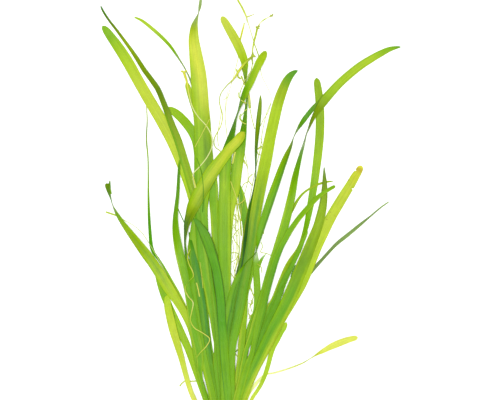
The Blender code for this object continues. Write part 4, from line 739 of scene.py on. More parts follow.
def ribbonTree():
    # a closed ribbon or tube along a line of points: half width and roll are read from the points
    tree = bpy.data.node_groups.new("ribbonAlongLine", "GeometryNodeTree")
    for name, (kind, value) in ribbonInputs.items():
        socket = tree.interface.new_socket(name, in_out="INPUT", socket_type="NodeSocket" + kind)
        if value is not None:
            socket.default_value = value
    tree.interface.new_socket("Ribbon", in_out="OUTPUT", socket_type="NodeSocketGeometry")
    start = Wire(tree)
    given = dict(zip(ribbonInputs, start.node("NodeGroupInput", out=tuple(ribbonInputs))))

    def named(name):
        return start.node("GeometryNodeInputNamedAttribute", {"data_type": "FLOAT"}, {"Name": name})

    def vector(**parts):
        return start.node("ShaderNodeCombineXYZ", None, parts)

    line = start.node("GeometryNodeMeshToCurve", None, {"Mesh": given["Line"]})
    line = start.node("GeometryNodeSetCurveNormal", {"mode": "Z_UP"}, {"Curve": line})
    line = start.node("GeometryNodeSetCurveTilt", None, {"Curve": line, "Tilt": named("roll")})
    circle = start.node("GeometryNodeCurvePrimitiveCircle", None,
                        {"Resolution": given["Sides"], "Radius": 1.0})
    spot = start.node("GeometryNodeInputPosition")
    sideways, upwards = start.node("ShaderNodeSeparateXYZ", None, {0: spot}, out=(0, 1))
    section = start.node("GeometryNodeStoreNamedAttribute", {"data_type": "FLOAT", "domain": "POINT"},
                         {"Geometry": circle, "Name": "across", "Value": sideways})
    dipped = upwards * given["Thickness"] + (sideways * sideways - ribbonForm["cupMiddle"]) * given["Cupping"]
    section = start.node("GeometryNodeSetPosition", None,
                         {"Geometry": section, "Position": vector(X=sideways, Y=dipped)})
    strip = start.node("GeometryNodeCurveToMesh", None, {"Curve": line, "Profile Curve": section,
                                                         "Scale": named("halfWidth"), "Fill Caps": True})
    across, along = named("across"), named("along")
    ripple = (along * given["Waves"] + given["Phase"] + across * ribbonForm["waveSlant"]).sine()
    ripple = ripple * given["Edge wave"] * (across * across) * named("halfWidth")
    strip = start.node("GeometryNodeSetPosition", None, {"Geometry": strip, "Offset": vector(Z=ripple)})
    strip = start.node("GeometryNodeStoreNamedAttribute", {"data_type": "FLOAT2", "domain": "CORNER"},
                       {"Geometry": strip, "Name": "UVMap", "Value": vector(X=0.5 - across * 0.5, Y=along)})
    strip = start.node("GeometryNodeSetShadeSmooth", None, {"Geometry": strip})
    strip = start.node("GeometryNodeRealizeInstances", None, {"Geometry": strip})
    strip = start.node("GeometryNodeSetMaterial", None, {"Geometry": strip, "Material": given["Finish"]})
    start.node("NodeGroupOutput", None, {"Ribbon": strip}, out=None)
    return tree


ribbon = ribbonTree()


def ribbonMesh(name, line, finish, **sizes):
    # line holds x, y, z, half width, roll and the share of the length, in metres and radians
    mesh = bpy.data.meshes.new(name + "Line")
    mesh.from_pydata([row[:3] for row in line], [(i, i + 1) for i in range(len(line) - 1)], [])
    for title, column in (("halfWidth", 3), ("roll", 4), ("along", 5)):
        mesh.attributes.new(title, "FLOAT", "POINT").data.foreach_set("value", [row[column] for row in line])
    guide = bpy.data.objects.new(name + "Line", mesh)
    sceneLinks.link(guide)
    modifier = guide.modifiers.new("ribbon", "NODES")
    modifier.node_group = ribbon
    values = dict(sizes, Finish=finish)
    for item in ribbon.interface.items_tree:
        if item.in_out == "INPUT" and item.name in values:
            modifier[item.identifier] = values[item.name]
    seen = guide.evaluated_get(bpy.context.evaluated_depsgraph_get())
    made = bpy.data.meshes.new_from_object(seen)
    bpy.data.objects.remove(guide, do_unlink=True)
    bpy.data.meshes.remove(mesh)
    return made


def tubeMesh(name, line, skin, sides):
    return ribbonMesh(name, line, skin, Sides=sides, Thickness=1.0)


def joined(meshes, name):
    bm = bmesh.new()
    for mesh in meshes:
        bm.from_mesh(mesh)
        bpy.data.meshes.remove(mesh)
    made = bpy.data.meshes.new(name)
    bm.to_mesh(made)
    bm.free()
    return made


def piece(name, mesh, slot, *nodes):
    # a finished piece on the one body, in the place of these CAD nodes
    made = bpy.data.objects.new(name, mesh)
    sceneLinks.link(made)
    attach(made, "root")
    if nodes:
        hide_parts(*nodes)


def newFinish(name):
    # a material with an empty node tree, and a wire to start it from
    finish = bpy.data.materials.new(name)
    finish.use_nodes = True
    finish.node_tree.nodes.clear()
    return finish, Wire(finish.node_tree)


def paint(tone, look):
    return (*linear(tones[tone], look.get("lessBlue", 0.0)), 1.0)


def toneRamp(start, look, stops, along):
    return start.node("ShaderNodeValToRGB", {"stops": [(at, paint(tone, look)) for at, tone in stops]},
                      {"Fac": along})


def thinTissue(start, look, back, sockets):
    # a moist surface that lets some light through from behind
    skin = start.node("ShaderNodeBsdfPrincipled", None, {**sockets, "Specular IOR Level": look["gloss"]})
    behind = start.node("ShaderNodeBsdfTranslucent", None, {"Color": paint(back, look)})
    both = start.node("ShaderNodeMixShader", None, {0: look["seeThrough"], 1: skin, 2: behind})
    start.node("ShaderNodeOutputMaterial", None, {"Surface": both}, out=None)


# scales and depths of the wandering colour, veins, blotches, grain, painted edge light and worn spots of a
# leaf
leafFinish = {"wander": 60.0, "wanderAlong": 0.05, "wanderAcross": 0.12, "veins": 11.0, "veinLength": 5.0,
              "fineVeins": 46.0, "fineLength": 30.0, "veinDepth": 0.11, "blotches": 190.0, "blotch": 0.10,
              "grains": 1300.0, "grain": 0.10, "paintedEdgeLight": 0.16, "paintedEdgeLightFrom": 0.80, "spots": 420.0, "spotEdge": 0.66,
              "spotSoft": 0.08, "spotEnd": 0.5, "bandSide": (1.6, 0.4), "bandStart": (-0.05, 0.04),
              "bandEnd": (0.08, -0.05),
              "roughness": 0.42, "roughWander": 0.16, "bump": 0.3, "bumpDepth": 0.0002, "seeThrough": 0.25,
              "gloss": 0.12, "lessBlue": 0.027}


def leafMaterial(name, stops, bands, spots, seed):
    look = leafFinish
    finish, start = newFinish(name)
    uv = start.node("ShaderNodeUVMap", {"uv_map": "UVMap"})
    across, along = start.node("ShaderNodeSeparateXYZ", None, {0: uv}, out=(0, 1))
    place3d = start.node("ShaderNodeTexCoord", out=3)

    def speckle(scale, detail):
        return start.node("ShaderNodeTexNoise", {"noise_dimensions": "3D"},
                          {"Vector": place3d, "Scale": scale, "Detail": detail})

    def streaks(count, length):
        stretched = start.node("ShaderNodeCombineXYZ", None,
                               {"X": across * count + seed, "Y": along * length})
        return start.node("ShaderNodeTexNoise", {"noise_dimensions": "2D"},
                          {"Vector": stretched, "Scale": 1.0, "Detail": 1.0})

    def blend(kind, factor, a, b):
        return start.node("ShaderNodeMix", {"data_type": "RGBA", "blend_type": kind},
                          {0: factor, 6: a, 7: b}, out=2)

    wander = speckle(look["wander"], 2.0)
    colour = toneRamp(start, look, stops, along + (wander - 0.5) * look["wanderAlong"])
    for middle, half, tone, strength, first, last in bands:
        away = (across - middle + (wander - 0.5) * look["wanderAcross"]).size()
        reach = away.between(*[half * side for side in look["bandSide"]])
        reach = reach * along.between(*[first + fade for fade in look["bandStart"]])
        reach = reach * along.between(*[last + fade for fade in look["bandEnd"]])
        colour = blend("MIX", reach * strength, colour, paint(tone, look))
    lines = streaks(look["veins"], look["veinLength"])
    fine = streaks(look["fineVeins"], look["fineLength"])
    shade = 1.0 + (lines - 0.5) * (look["veinDepth"] * 3) + (fine - 0.5) * (look["veinDepth"] * 2)
    shade = shade + (speckle(look["blotches"], 3.0) - 0.5) * (look["blotch"] * 2)
    shade = shade + (speckle(look["grains"], 1.0) - 0.5) * (look["grain"] * 2)
    # the lime mixed in along both edges is painted light, where the thin margins let light through
    paintedEdgeLight = ((across - 0.5).size() * 2.0).between(look["paintedEdgeLightFrom"], 1.0) * look["paintedEdgeLight"]
    colour = blend("MIX", paintedEdgeLight, colour, paint("lime", look))
    grey = start.node("ShaderNodeCombineColor", None, {"Red": shade, "Green": shade, "Blue": shade})
    colour = blend("MULTIPLY", 1.0, colour, grey)
    if spots:
        mark = speckle(look["spots"], 2.0).between(look["spotEdge"] - spots * 0.1,
                                                   look["spotEdge"] + look["spotSoft"])
        mark = mark * along.between(look["spotEnd"], 0.0) * min(1.0, spots * 3)
        colour = blend("MIX", mark, colour, paint("brown", {}))
    relief = start.node("ShaderNodeBump", None, {"Strength": look["bump"], "Distance": look["bumpDepth"],
                                                 "Height": fine})
    rough = look["roughness"] + (wander - 0.5) * look["roughWander"]
    middleTone = stops[len(stops) // 2][1]
    thinTissue(start, look, middleTone, {"Base Color": colour, "Roughness": rough, "Normal": relief})
    return finish


def bladeLine(route, tree, step, span=1.0):
    rows = smoothRoute(route, step)
    spots = [place(row[0], row[1]) for row in rows]
    heights = filled([middleHeight(tree, *spot) for spot in spots],
                     round(blade["smoothing"] * (blade["step"] / step) ** 2))
    gone = travelled(spots)
    tip = rows[0][2] * photo["pixel"] * blade["tipLength"]
    line = []
    for row, spot, height, far in zip(rows, spots, heights, gone):
        half = max(row[2], blade["leastWidth"]) * photo["pixel"] / 2
        if far < tip:
            half *= max(blade["tipLeast"], math.sqrt(max(0.0, 1 - (1 - far / tip) ** 2)))
        roll = math.radians(row[3])
        clear = half * abs(math.sin(roll)) + blade["rest"]  # keeps the lower edge off the surface
        line.append((*spot, max(height, clear), half, roll, span * far / gone[-1]))
    return line


def bite(mesh, notches):
    # each notch: photo x, photo y, radius in pixels and direction; the edge there is pushed into the blade
    for x, y, size, towards in notches:
        radius = size * photo["pixel"]
        centre = Vector((*place(x, y), 0.0))
        inward = Vector((math.cos(towards), math.sin(towards), 0.0))
        for vertex in mesh.vertices:
            flat = Vector((vertex.co.x, vertex.co.y, 0.0)) - centre
            if flat.length < radius:
                side = flat - inward * flat.dot(inward)
                depth = math.sqrt(max(0.0, radius ** 2 - side.length ** 2))
                vertex.co += inward * (depth - flat.dot(inward))


def makeLeaf(number, name, leaf):
    tree = treeOf([frame["nodes"][name]])
    bladeName = name.replace("leaf_", "blade_")
    finish = leafMaterial(bladeName, leaf["tones"], leaf.get("bands", ()), leaf.get("spots", 0.0),
                          number * blade["streakShift"])
    sizes = {"Sides": blade["sides"], "Thickness": blade["thickness"], "Cupping": blade["cupping"],
             "Edge wave": blade["edgeWave"], "Phase": number * blade["wavePhase"],
             "Waves": blade["waves"] + number % blade["waveKinds"] * blade["moreWaves"]}
    line = bladeLine(leafRoute(leaf), tree, leaf.get("step", blade["step"]))
    mesh = ribbonMesh(name, line, finish, **sizes)
    if "spur" in leaf:
        spur = bladeLine(withRoll(leaf["spur"]), tree, blade["spurStep"], blade["spurSpan"])
        mesh = joined([mesh, ribbonMesh(name, spur, finish, **sizes)], name)
        mesh.materials.append(finish)
    bite(mesh, leaf.get("bites", ()))
    piece(bladeName, mesh, leaf["slot"], name)


for number, (name, leaf) in enumerate(leaves.items()):
    makeLeaf(number, name, leaf)
print("leaves:", len(leaves))

# flower stalks, from flower to base: photo x, photo y, diameter in pixels; tones by row of the route
stalks = {
    "stalk_left_thread": {
        "tones": [(0, "lime"), (2, "lime"), (3, "hair"), (6, "hair"), (8, "fresh"), (10, "leaf")],
        "route": [(105.5, 212, 1.7), (111, 213.8, 1.7), (116.5, 215.8, 1.5), (125, 220.8, 0.7),
            (133, 225.2, 0.5), (141, 232, 0.6), (149, 243.5, 0.6), (160, 262, 0.9), (176, 296, 1.1),
            (193, 345, 1.2), (199, 375, 1.2), (206, 400, 1.3)]},
    "stalk_left_curling": {
        # the straw and cream rows at the bends of the curl are partly the thread's pale colour and partly a
        # painted highlight
        "tones": [(0, "lime"), (1, "yellow"), (3, "straw"), (4, "lime"), (5, "leaf"), (6, "lime"),
            (7, "cream"), (8, "cream"), (9, "straw"), (10, "lime"), (11, "straw"), (14, "straw"),
            (15, "lime"), (16, "leaf"), (18, "leaf")],
        "route": [(190.4, 249, 1.1), (187.8, 256.4, 1), (189.2, 264, 1), (192.4, 270.4, 1.2),
            (193.6, 276, 1), (188, 282, 0.8), (185.3, 288.5, 1), (188.2, 295.8, 1.2), (193.2, 302, 1.1),
            (192, 311, 1.1), (190.6, 320, 1.1), (194.8, 327.6, 1.1), (203, 332.6, 1.1), (209.8, 338.6, 1.2),
            (206, 346.4, 1.1), (199.6, 353, 0.9), (196.4, 360, 0.6), (204, 384, 0.9), (210, 400, 1)]},
    "stalk_left_flower": {
        "tones": [(0, "gold"), (2, "gold"), (3, "straw"), (4, "cream"), (8, "cream"), (12, "cream"),
            (13, "leaf"), (17, "leaf")],
        "flower": [[(180.8, 71.4, 1.5), (182.4, 71.2, 1.6), (183.6, 72.4, 2)],
            [(186.8, 70.2, 1.2), (185.6, 71.2, 1.8), (184, 72.6, 2)],
            [(183.8, 72, 2.4), (184.8, 75.4, 2.5), (185.8, 79, 2)]],
        "route": [(183.6, 71.4, 1.9), (185.6, 77, 2), (187.2, 84, 2), (189.2, 95, 1.7), (192.4, 107, 1.3),
            (198.4, 117, 1.2), (206.6, 126.2, 1.2), (211.6, 136.6, 1.2), (211.8, 147, 1.2),
            (207, 157.4, 1.2), (199.4, 167, 1.2), (193, 174.6, 1.3), (194.6, 186, 1.2), (200, 215, 0.9),
            (207, 255, 0.9), (212, 300, 1), (216, 350, 1), (220, 400, 1)]},
    "stalk_centre_left": {
        "tones": [(0, "lime"), (1, "stalkOlive"), (2, "lime"), (3, "gold"), (4, "straw"), (5, "hair"),
            (6, "hair"), (8, "straw"), (9, "straw"), (10, "lime"), (11, "lime"), (12, "straw"), (13, "leaf"),
            (17, "leaf")],
        "flower": [[(252.4, 51.4, 1.3), (253, 54, 1.5), (253.8, 57, 1.6)],
            [(255.6, 56.8, 1.2), (253.6, 55.6, 1.7), (251, 55.2, 1.5)],
            [(251.8, 58, 1.5), (252.3, 61, 1.4), (252.8, 64, 1)]],
        "route": [(253, 55.6, 1.4), (250.4, 57.9, 2.1), (245.4, 62.8, 2.4), (239.6, 70, 2.3),
            (233.6, 79, 1.7), (226.2, 86, 1), (220.4, 94.4, 1), (219.4, 102, 0.9), (222.4, 115, 0.9),
            (221, 125, 0.9), (214, 139.5, 0.9), (215.2, 147, 0.9), (220.6, 151.6, 0.9), (228, 185, 0.9),
            (231, 230, 0.9), (230, 290, 1), (229, 350, 1), (228, 400, 1.1)]},
    "stalk_centre_pale": {
        "tones": [(0, "cream"), (1, "gold"), (2, "yellow"), (4, "lime"), (5, "stalkYellow"), (7, "cream"),
            (10, "lime"), (12, "straw"), (13, "straw"), (16, "leaf")],
        "route": [(244.4, 22.6, 1.5), (242.4, 30.5, 1.9), (240.4, 39, 1.6), (239.6, 44, 0.6),
            (238.2, 57, 0.6), (233.6, 76, 0.6), (228.4, 95, 0.45), (225.2, 114, 0.45), (226.8, 135, 0.6),
            (230.6, 160, 0.8), (232.4, 184, 1.2), (235.6, 195, 1.2), (237.6, 206, 1), (237.4, 250, 0.6),
            (233, 290, 0.9), (230, 350, 1), (230, 400, 1.1)]},
    "stalk_centre_right": {
        "tones": [(0, "stalkOlive"), (1, "cream"), (2, "lime"), (3, "straw"), (4, "stalkOlive"), (5, "lime"),
            (6, "lime"), (7, "yellow"), (8, "stalkOlive"), (9, "hair"), (11, "lime"), (13, "fresh"),
            (14, "hair"), (17, "fresh"), (18, "lime"), (24, "lime"), (26, "leaf")],
        "flower": [[(270.2, 14.4, 1.2), (271.6, 15.6, 1.7), (273.2, 13.4, 1.2)],
            [(272.6, 16.2, 1), (271.6, 15.2, 1.4), (270.6, 17, 1)],
            [(255.6, 26.2, 1.4), (257.4, 27.4, 2.2), (259.6, 28, 1.3)],
            [(256.4, 26, 1), (256.8, 27.2, 1.4), (257.2, 29, 1.8)],
            [(259.4, 25.4, 1), (259.6, 26, 1.2), (259.7, 26.6, 0.9)]],
        "route": [(271.6, 15.2, 1.1), (267.6, 17.4, 0.9), (264, 19.4, 1.3), (260.4, 22.6, 0.7),
            (257.6, 27.4, 1.9), (256, 34, 2), (254, 41.6, 1.8), (252.6, 50, 1.3), (252.4, 57, 1.3),
            (252.2, 64, 0.7), (248.4, 77, 0.5), (243, 85, 0.7), (240, 93, 0.9), (240.4, 99, 0.9),
            (245, 104, 0.9), (244.6, 111, 0.9), (240.4, 117.4, 0.9), (244.6, 124.6, 0.9), (244, 138, 0.6),
            (244.4, 152, 0.6), (247.4, 166, 0.6), (247.8, 180, 0.6), (243, 200, 0.6), (240.4, 224, 0.6),
            (238.6, 262, 0.7), (233, 310, 0.9), (231.4, 400, 1.1)]},
    "stalk_tall": {
        "tones": [(0, "paleLime"), (2, "paleLime"), (3, "straw"), (4, "cream"), (5, "cream"), (6, "lime"),
            (7, "olive"), (8, "hair"), (10, "hair"), (12, "lime"), (15, "lime"), (19, "leaf")],
        "flower": [[(246.4, 16.6, 1.3), (249.4, 15.8, 1.2), (251.6, 15, 0.8), (254, 14, 0.7)],
            [(246.4, 17, 1.6), (247.2, 20, 1.7), (247.9, 22.6, 1.2)]],
        "route": [(233.6, -9, 1.7), (238, 0, 1.9), (242.2, 7.4, 1.9), (245.8, 15.2, 1.7), (247.8, 21.5, 1),
            (251.2, 33, 0.8), (254.6, 44, 0.9), (259, 57, 1), (262, 76, 0.5), (268, 88, 0.45),
            (271.4, 99, 0.4), (266.6, 113, 0.6), (262.4, 132, 0.6), (260.4, 148, 0.7), (255.4, 170, 0.7),
            (249.6, 200, 0.6), (243.4, 240, 0.6), (239.4, 290, 0.9), (234, 335, 1), (232.6, 360, 1),
            (232.6, 400, 1.1)]},
}

scape = {"step": 0.0012, "sides": 10, "smoothing": 4, "budStep": 0.0004, "budSides": 8, "budLift": 0.0002}
stalkFinish = {"cloud": 260.0, "cloudAlong": 0.02, "roughness": 0.4, "roughCloud": 0.2, "seeThrough": 0.25,
               "gloss": 0.12, "lessBlue": 0.01}


def stalkMaterial(name, stops):
    look = stalkFinish
    finish, start = newFinish(name)
    uv = start.node("ShaderNodeUVMap", {"uv_map": "UVMap"})
    along = start.node("ShaderNodeSeparateXYZ", None, {0: uv}, out=1)
    place3d = start.node("ShaderNodeTexCoord", out=3)
    cloud = start.node("ShaderNodeTexNoise", None, {"Vector": place3d, "Scale": look["cloud"], "Detail": 2.0})
    colour = toneRamp(start, look, stops, along + (cloud - 0.5) * look["cloudAlong"])
    rough = look["roughness"] + (cloud - 0.5) * look["roughCloud"]
    thinTissue(start, look, "lime", {"Base Color": colour, "Roughness": rough})
    return finish


def stopsAlong(stalk):
    # tones given by rows of the route, as shares of its length
    gone = travelled(stalk["route"])
    whole = gone[-1] + base["row"] + base["intoCrown"] - stalk["route"][-1][1]
    return [(gone[row] / whole, tone) for row, tone in stalk["tones"]]


def threadLine(rows, heights):
    spots = [place(row[0], row[1]) for row in rows]
    gone = travelled(spots)
    return [(*spot, height, row[2] * photo["pixel"] / 2, 0.0, far / gone[-1])
            for row, spot, height, far in zip(rows, spots, heights, gone)]


def budLine(part, spots, heights):
    # a bud or fork of a flower, at the height of the stalk beside it
    line = []
    for row in smoothRoute(part, scape["budStep"]):
        x, y = place(row[0], row[1])
        near = min(range(len(spots)), key=lambda i: math.hypot(spots[i][0] - x, spots[i][1] - y))
        half = row[2] * photo["pixel"] / 2
        line.append((x, y, heights[near] + scape["budLift"], half, 0.0, near / len(spots)))
    return line


def makeStalk(name, stalk):
    tree = treeOf([frame["nodes"][name]])
    scapeName = name.replace("stalk_", "scape_")
    skin = stalkMaterial(scapeName, stopsAlong(stalk))
    rows = smoothRoute(crownEnd(stalk["route"]), scape["step"])
    spots = [place(row[0], row[1]) for row in rows]
    heights = filled([middleHeight(tree, *spot) for spot in spots], scape["smoothing"])
    meshes = [tubeMesh(name, threadLine(rows, heights), skin, scape["sides"])]
    for part in stalk.get("flower", ()):
        meshes.append(tubeMesh(name, budLine(part, spots, heights), skin, scape["budSides"]))
    mesh = joined(meshes, name)
    mesh.materials.append(skin)
    piece(scapeName, mesh, "stalk", name)


for name, stalk in stalks.items():
    makeStalk(name, stalk)
print("flower stalks:", len(stalks))

# fine threads and root hairs: whether one lies over the leaves or on the floor, its width, its places
threads = {
    "limeThread": [
        ("floor", 1.5, [(236.6, 69), (237.4, 73), (238.6, 77), (241, 78.6)]),
        ("floor", 1.5, [(241.2, 75.6), (242.6, 79), (245.2, 85)]),
        ("floor", 2.7, [(247.6, 91), (248.9, 97), (249.8, 108)]),
        ("floor", 1.9, [(237.6, 76.2), (240, 78.4)]),
        ("floor", 0.8, [(249.6, 107), (251, 114), (252.6, 121), (254.6, 129)]),
        ("floor", 0.9, [(238.8, 92), (238.2, 96), (241.6, 99.4)]),
        ("floor", 0.9, [(241, 113.6), (239.2, 117.6), (241.4, 121.2)]),
        ("floor", 1.4, [(257.4, 149.4), (259.4, 147.6), (262, 146)]),
        ("floor", 0.9, [(257, 151), (258.2, 154), (260.6, 155)]),
        ("floor", 0.9, [(241.6, 160), (244.2, 160.8), (245.8, 163.6), (248, 168.4)]),
        ("floor", 1.7, [(243.2, 159.8), (244.6, 161.6), (245.2, 163.6)]),
        ("floor", 0.9, [(252.6, 174), (249.4, 177), (248.2, 180), (250.2, 183), (252.2, 185.4)]),
        ("floor", 0.8, [(248.4, 181.6), (243.8, 184), (242.2, 187.4)]),
        ("floor", 0.6, [(260.4, 126), (263.6, 119), (267.6, 113), (271, 103)]),
        ("floor", 0.5, [(260.6, 138), (262, 143), (264, 149)]),
        ("floor", 0.6, [(219, 102), (221, 112), (219.6, 122), (217.4, 136), (218.4, 146)]),
        ("floor", 0.5, [(227.4, 92), (225.6, 104), (225.2, 116), (226.6, 133)]),
        ("floor", 0.5, [(229.4, 93), (227.4, 97), (223, 100)]),
        ("floor", 1.2, [(236.4, 203), (238.4, 213), (240.6, 224), (241.6, 236)]),
        ("floor", 0.8, [(239.4, 194), (240, 208), (241.4, 221)]),
        ("floor", 0.9, [(233.4, 213), (235.6, 218), (238, 222)]),
        ("floor", 0.8, [(238.8, 229), (235.4, 233), (232.8, 237)]),
        ("floor", 0.9, [(233.2, 237), (235.2, 242), (238.6, 246.4), (238.8, 255)]),
        ("floor", 0.8, [(231.4, 253), (235, 252.6), (239, 254.4)]),
        ("floor", 0.8, [(239, 254), (236, 259), (231.4, 262.4)]),
        ("floor", 0.9, [(238.6, 254), (237.4, 262), (234.8, 272), (235.6, 277)]),
        ("floor", 0.9, [(230.6, 273), (233.6, 277.6), (235.4, 280.4)]),
        ("floor", 0.6, [(232.6, 240), (233.4, 250), (232.4, 259)]),
        ("floor", 0.6, [(234.8, 262), (233.6, 267), (234.6, 272)]),
        ("floor", 0.6, [(236.8, 206), (235.4, 222), (236.6, 240), (235.4, 258)]),
        ("floor", 0.8, [(261.4, 231), (263.4, 234), (263.6, 229)]),
        ("floor", 0.7, [(261, 242), (262.6, 247), (260.4, 252), (266, 253.4), (273, 256.4)]),
        ("floor", 0.8, [(257, 264), (261, 267), (262, 273)]),
        ("floor", 0.9, [(249.6, 288), (252, 292), (254, 296)]),
        ("floor", 0.8, [(253, 276), (250, 284), (251.6, 290)]),
        ("floor", 0.8, [(248.4, 303), (251.2, 305), (252.4, 302), (250.6, 300.4)]),
        ("floor", 0.9, [(248, 314), (250.4, 316), (249, 319), (251.8, 314.4)]),
        ("floor", 0.7, [(253.4, 297), (250.6, 306), (252, 312)]),
        ("floor", 1.3, [(179.6, 386.6), (182, 383.4), (185.4, 381.2), (190, 381.6), (196, 381.4)]),
        ("leaves", 0.8, [(261, 146), (262, 149)]),
        ("floor", 0.6, [(212, 222), (215.6, 226)]),
        ("floor", 1.0, [(235.6, 352), (238.4, 348.6), (241, 345)]),
        ("floor", 0.9, [(235.4, 353.4), (237.6, 357), (239, 356.6)])],
    "paleThread": [
        ("leaves", 0.9, [(209.6, 119), (203, 132), (195, 147)]),
        ("leaves", 2.3, [(235.2, 151.8), (233.8, 157.6), (232.4, 165)]),
        ("leaves", 0.8, [(252.4, 64), (251.3, 69.6), (248.6, 75), (245.8, 79.4), (243.2, 83.6)]),
        ("leaves", 1.0, [(241, 100.4), (243.4, 102), (246.4, 103.6)]),
        ("leaves", 1.0, [(246.8, 109.6), (244, 111)]),
        ("leaves", 1.0, [(241.4, 121.2), (243.4, 123), (246.2, 124.2)]),
        ("leaves", 1.1, [(230.6, 181), (232.6, 187), (234.8, 193), (237.4, 201.6)]),
        ("leaves", 1.0, [(237.6, 204.6), (240.6, 203), (243.4, 201), (245.4, 198.4)]),
        ("leaves", 0.9, [(185, 289.6), (189, 296.4), (192.6, 301.2)]),
        ("leaves", 1.6, [(192.8, 176), (194.6, 182), (196, 188)]),
        ("leaves", 0.6, [(200, 262), (201.4, 272), (203, 288)]),
        ("leaves", 1.4, [(196.6, 282.6), (198, 288), (199.6, 296.5)])],
    "darkThread": [
        ("leaves", 1.2, [(295.2, 265), (292.6, 271), (290.8, 277)]),
        ("floor", 1.0, [(177.6, 208), (180.8, 215.4), (184.6, 223.6)]),
        ("leaves", 0.7, [(196.6, 158), (200.4, 168), (203, 182), (203.4, 198), (202.6, 212)]),
        ("floor", 1.2, [(235, 352.6), (238.6, 349.4), (244, 345.4)]),
        ("leaves", 0.6, [(236.4, 283), (233.4, 296), (231, 312)])],
}
tangles = [
    {"box": (232.4, 206, 238.6, 240), "count": 2, "stride": 4.6, "width": 0.4},
    {"box": (248.4, 288, 253.6, 320), "count": 2, "stride": 3.6, "width": 0.55}]

thread = {"step": 0.0008, "sides": 6, "lift": 0.0005, "under": 0.0012, "sag": 0.0004, "sagTurn": 0.21,
           "smoothing": 6, "passes": 3, "near": 2, "seed": 5}
tangle = {"step": 0.0012, "sides": 5, "low": 0.0008, "high": 0.0035, "hops": (5, 9), "wander": 1.3,
          "back": 0.5}
threadTones = {"limeThread": [(0.0, "lime"), (0.5, "stalkYellow"), (1.0, "lime")],
               "paleThread": [(0.0, "straw"), (1.0, "straw")],
               "darkThread": [(0.0, "mid"), (1.0, "deep")]}
heap = treeOf(frame["nodes"].values())


def threadHeights(lies, spots, number):
    if lies != "leaves":
        return [thread["under"] + thread["sag"] * math.sin(i * thread["sagTurn"] + number)
                for i in range(len(spots))]
    tops = [topOf(heap, *spot) for spot in spots]
    heights = [(top.z if top else 0.0) + thread["lift"] for top in tops]
    for _ in range(thread["passes"]):
        heights = filled([max(heights[max(0, i - thread["near"]):i + thread["near"] + 1])
                          for i in range(len(heights))], thread["smoothing"])
    return heights


def tangleRoute(patch):
    # a hair that wanders about inside its box
    left, top, right, bottom = patch["box"]
    stride = patch["stride"]
    x, y = random.uniform(left, right), random.uniform(top, bottom)
    turn = random.uniform(0, math.tau)
    rows = []
    for _ in range(random.randint(*tangle["hops"])):
        rows.append((x, y, patch["width"]))
        turn += random.uniform(-tangle["wander"], tangle["wander"])
        if not (left < x + math.cos(turn) * stride < right and top < y + math.sin(turn) * stride < bottom):
            turn = math.atan2((top + bottom) / 2 - y, (left + right) / 2 - x)
            turn += random.uniform(-tangle["back"], tangle["back"])
        x, y = x + math.cos(turn) * stride, y + math.sin(turn) * stride
    return smoothRoute(rows, tangle["step"])


def makeThreads(kind, members, skin):
    hairs = []
    for lies, width, points in members:
        rows = smoothRoute([(x, y, width) for x, y in points], thread["step"])
        heights = threadHeights(lies, [place(row[0], row[1]) for row in rows], len(hairs))
        hairs.append(tubeMesh("hair", threadLine(rows, heights), skin, thread["sides"]))
    for patch in tangles if kind == "limeThread" else ():
        for _ in range(patch["count"]):
            rows = tangleRoute(patch)
            heights = [random.uniform(tangle["low"], tangle["high"])] * len(rows)
            hairs.append(tubeMesh("hair", threadLine(rows, heights), skin, tangle["sides"]))
    mesh = joined(hairs, kind)
    mesh.materials.append(skin)
    piece(kind, mesh, "stalk")
    print(kind, len(hairs))


random.seed(thread["seed"])
for kind, members in threads.items():
    makeThreads(kind, members, stalkMaterial(kind, threadTones[kind]))

# the stock that the leaves grow from, with the bases of old leaves as ridges round it
crown = {"rings": 40, "around": 72, "front": 0.0009, "inset": 0.0008, "lift": 0.0001, "ridges": 0.0006,
         "ridgeTurns": 5, "ridgeLength": 1.6, "folds": 17, "foldTurn": 4,
         "wideTaper": 0.62, "widePower": 1.4, "tallTaper": 0.60, "tallPower": 1.3, "tall": 0.97, "sink": 0.45,
         "waist": 0.93, "bulge": 0.05, "bulges": 9, "lip": 0.06, "lipSize": 0.80, "lipSlope": 3.3}
crownFinish = {"stretch": (420.0, 60.0, 420.0), "roughness": 0.45, "roughFibre": 0.2, "bump": 0.5,
               "bumpDepth": 0.0004, "tones": [(0.30, "crownShade"), (0.52, "crown"), (0.75, "crownLight")]}


def crownMaterial():
    look = crownFinish
    finish, start = newFinish("crownStock")
    place3d = start.node("ShaderNodeTexCoord", out=3)
    stretched = start.node("ShaderNodeMapping", None, {"Vector": place3d, "Scale": look["stretch"]})
    fibre = start.node("ShaderNodeTexNoise", None, {"Vector": stretched, "Scale": 1.0, "Detail": 4.0})
    relief = start.node("ShaderNodeBump", None, {"Strength": look["bump"], "Distance": look["bumpDepth"],
                                                 "Height": fibre})
    skin = start.node("ShaderNodeBsdfPrincipled", None,
                      {"Base Color": toneRamp(start, look, look["tones"], fibre), "Normal": relief,
                       "Roughness": look["roughness"] + fibre * look["roughFibre"]})
    start.node("ShaderNodeOutputMaterial", None, {"Surface": skin}, out=None)
    return finish


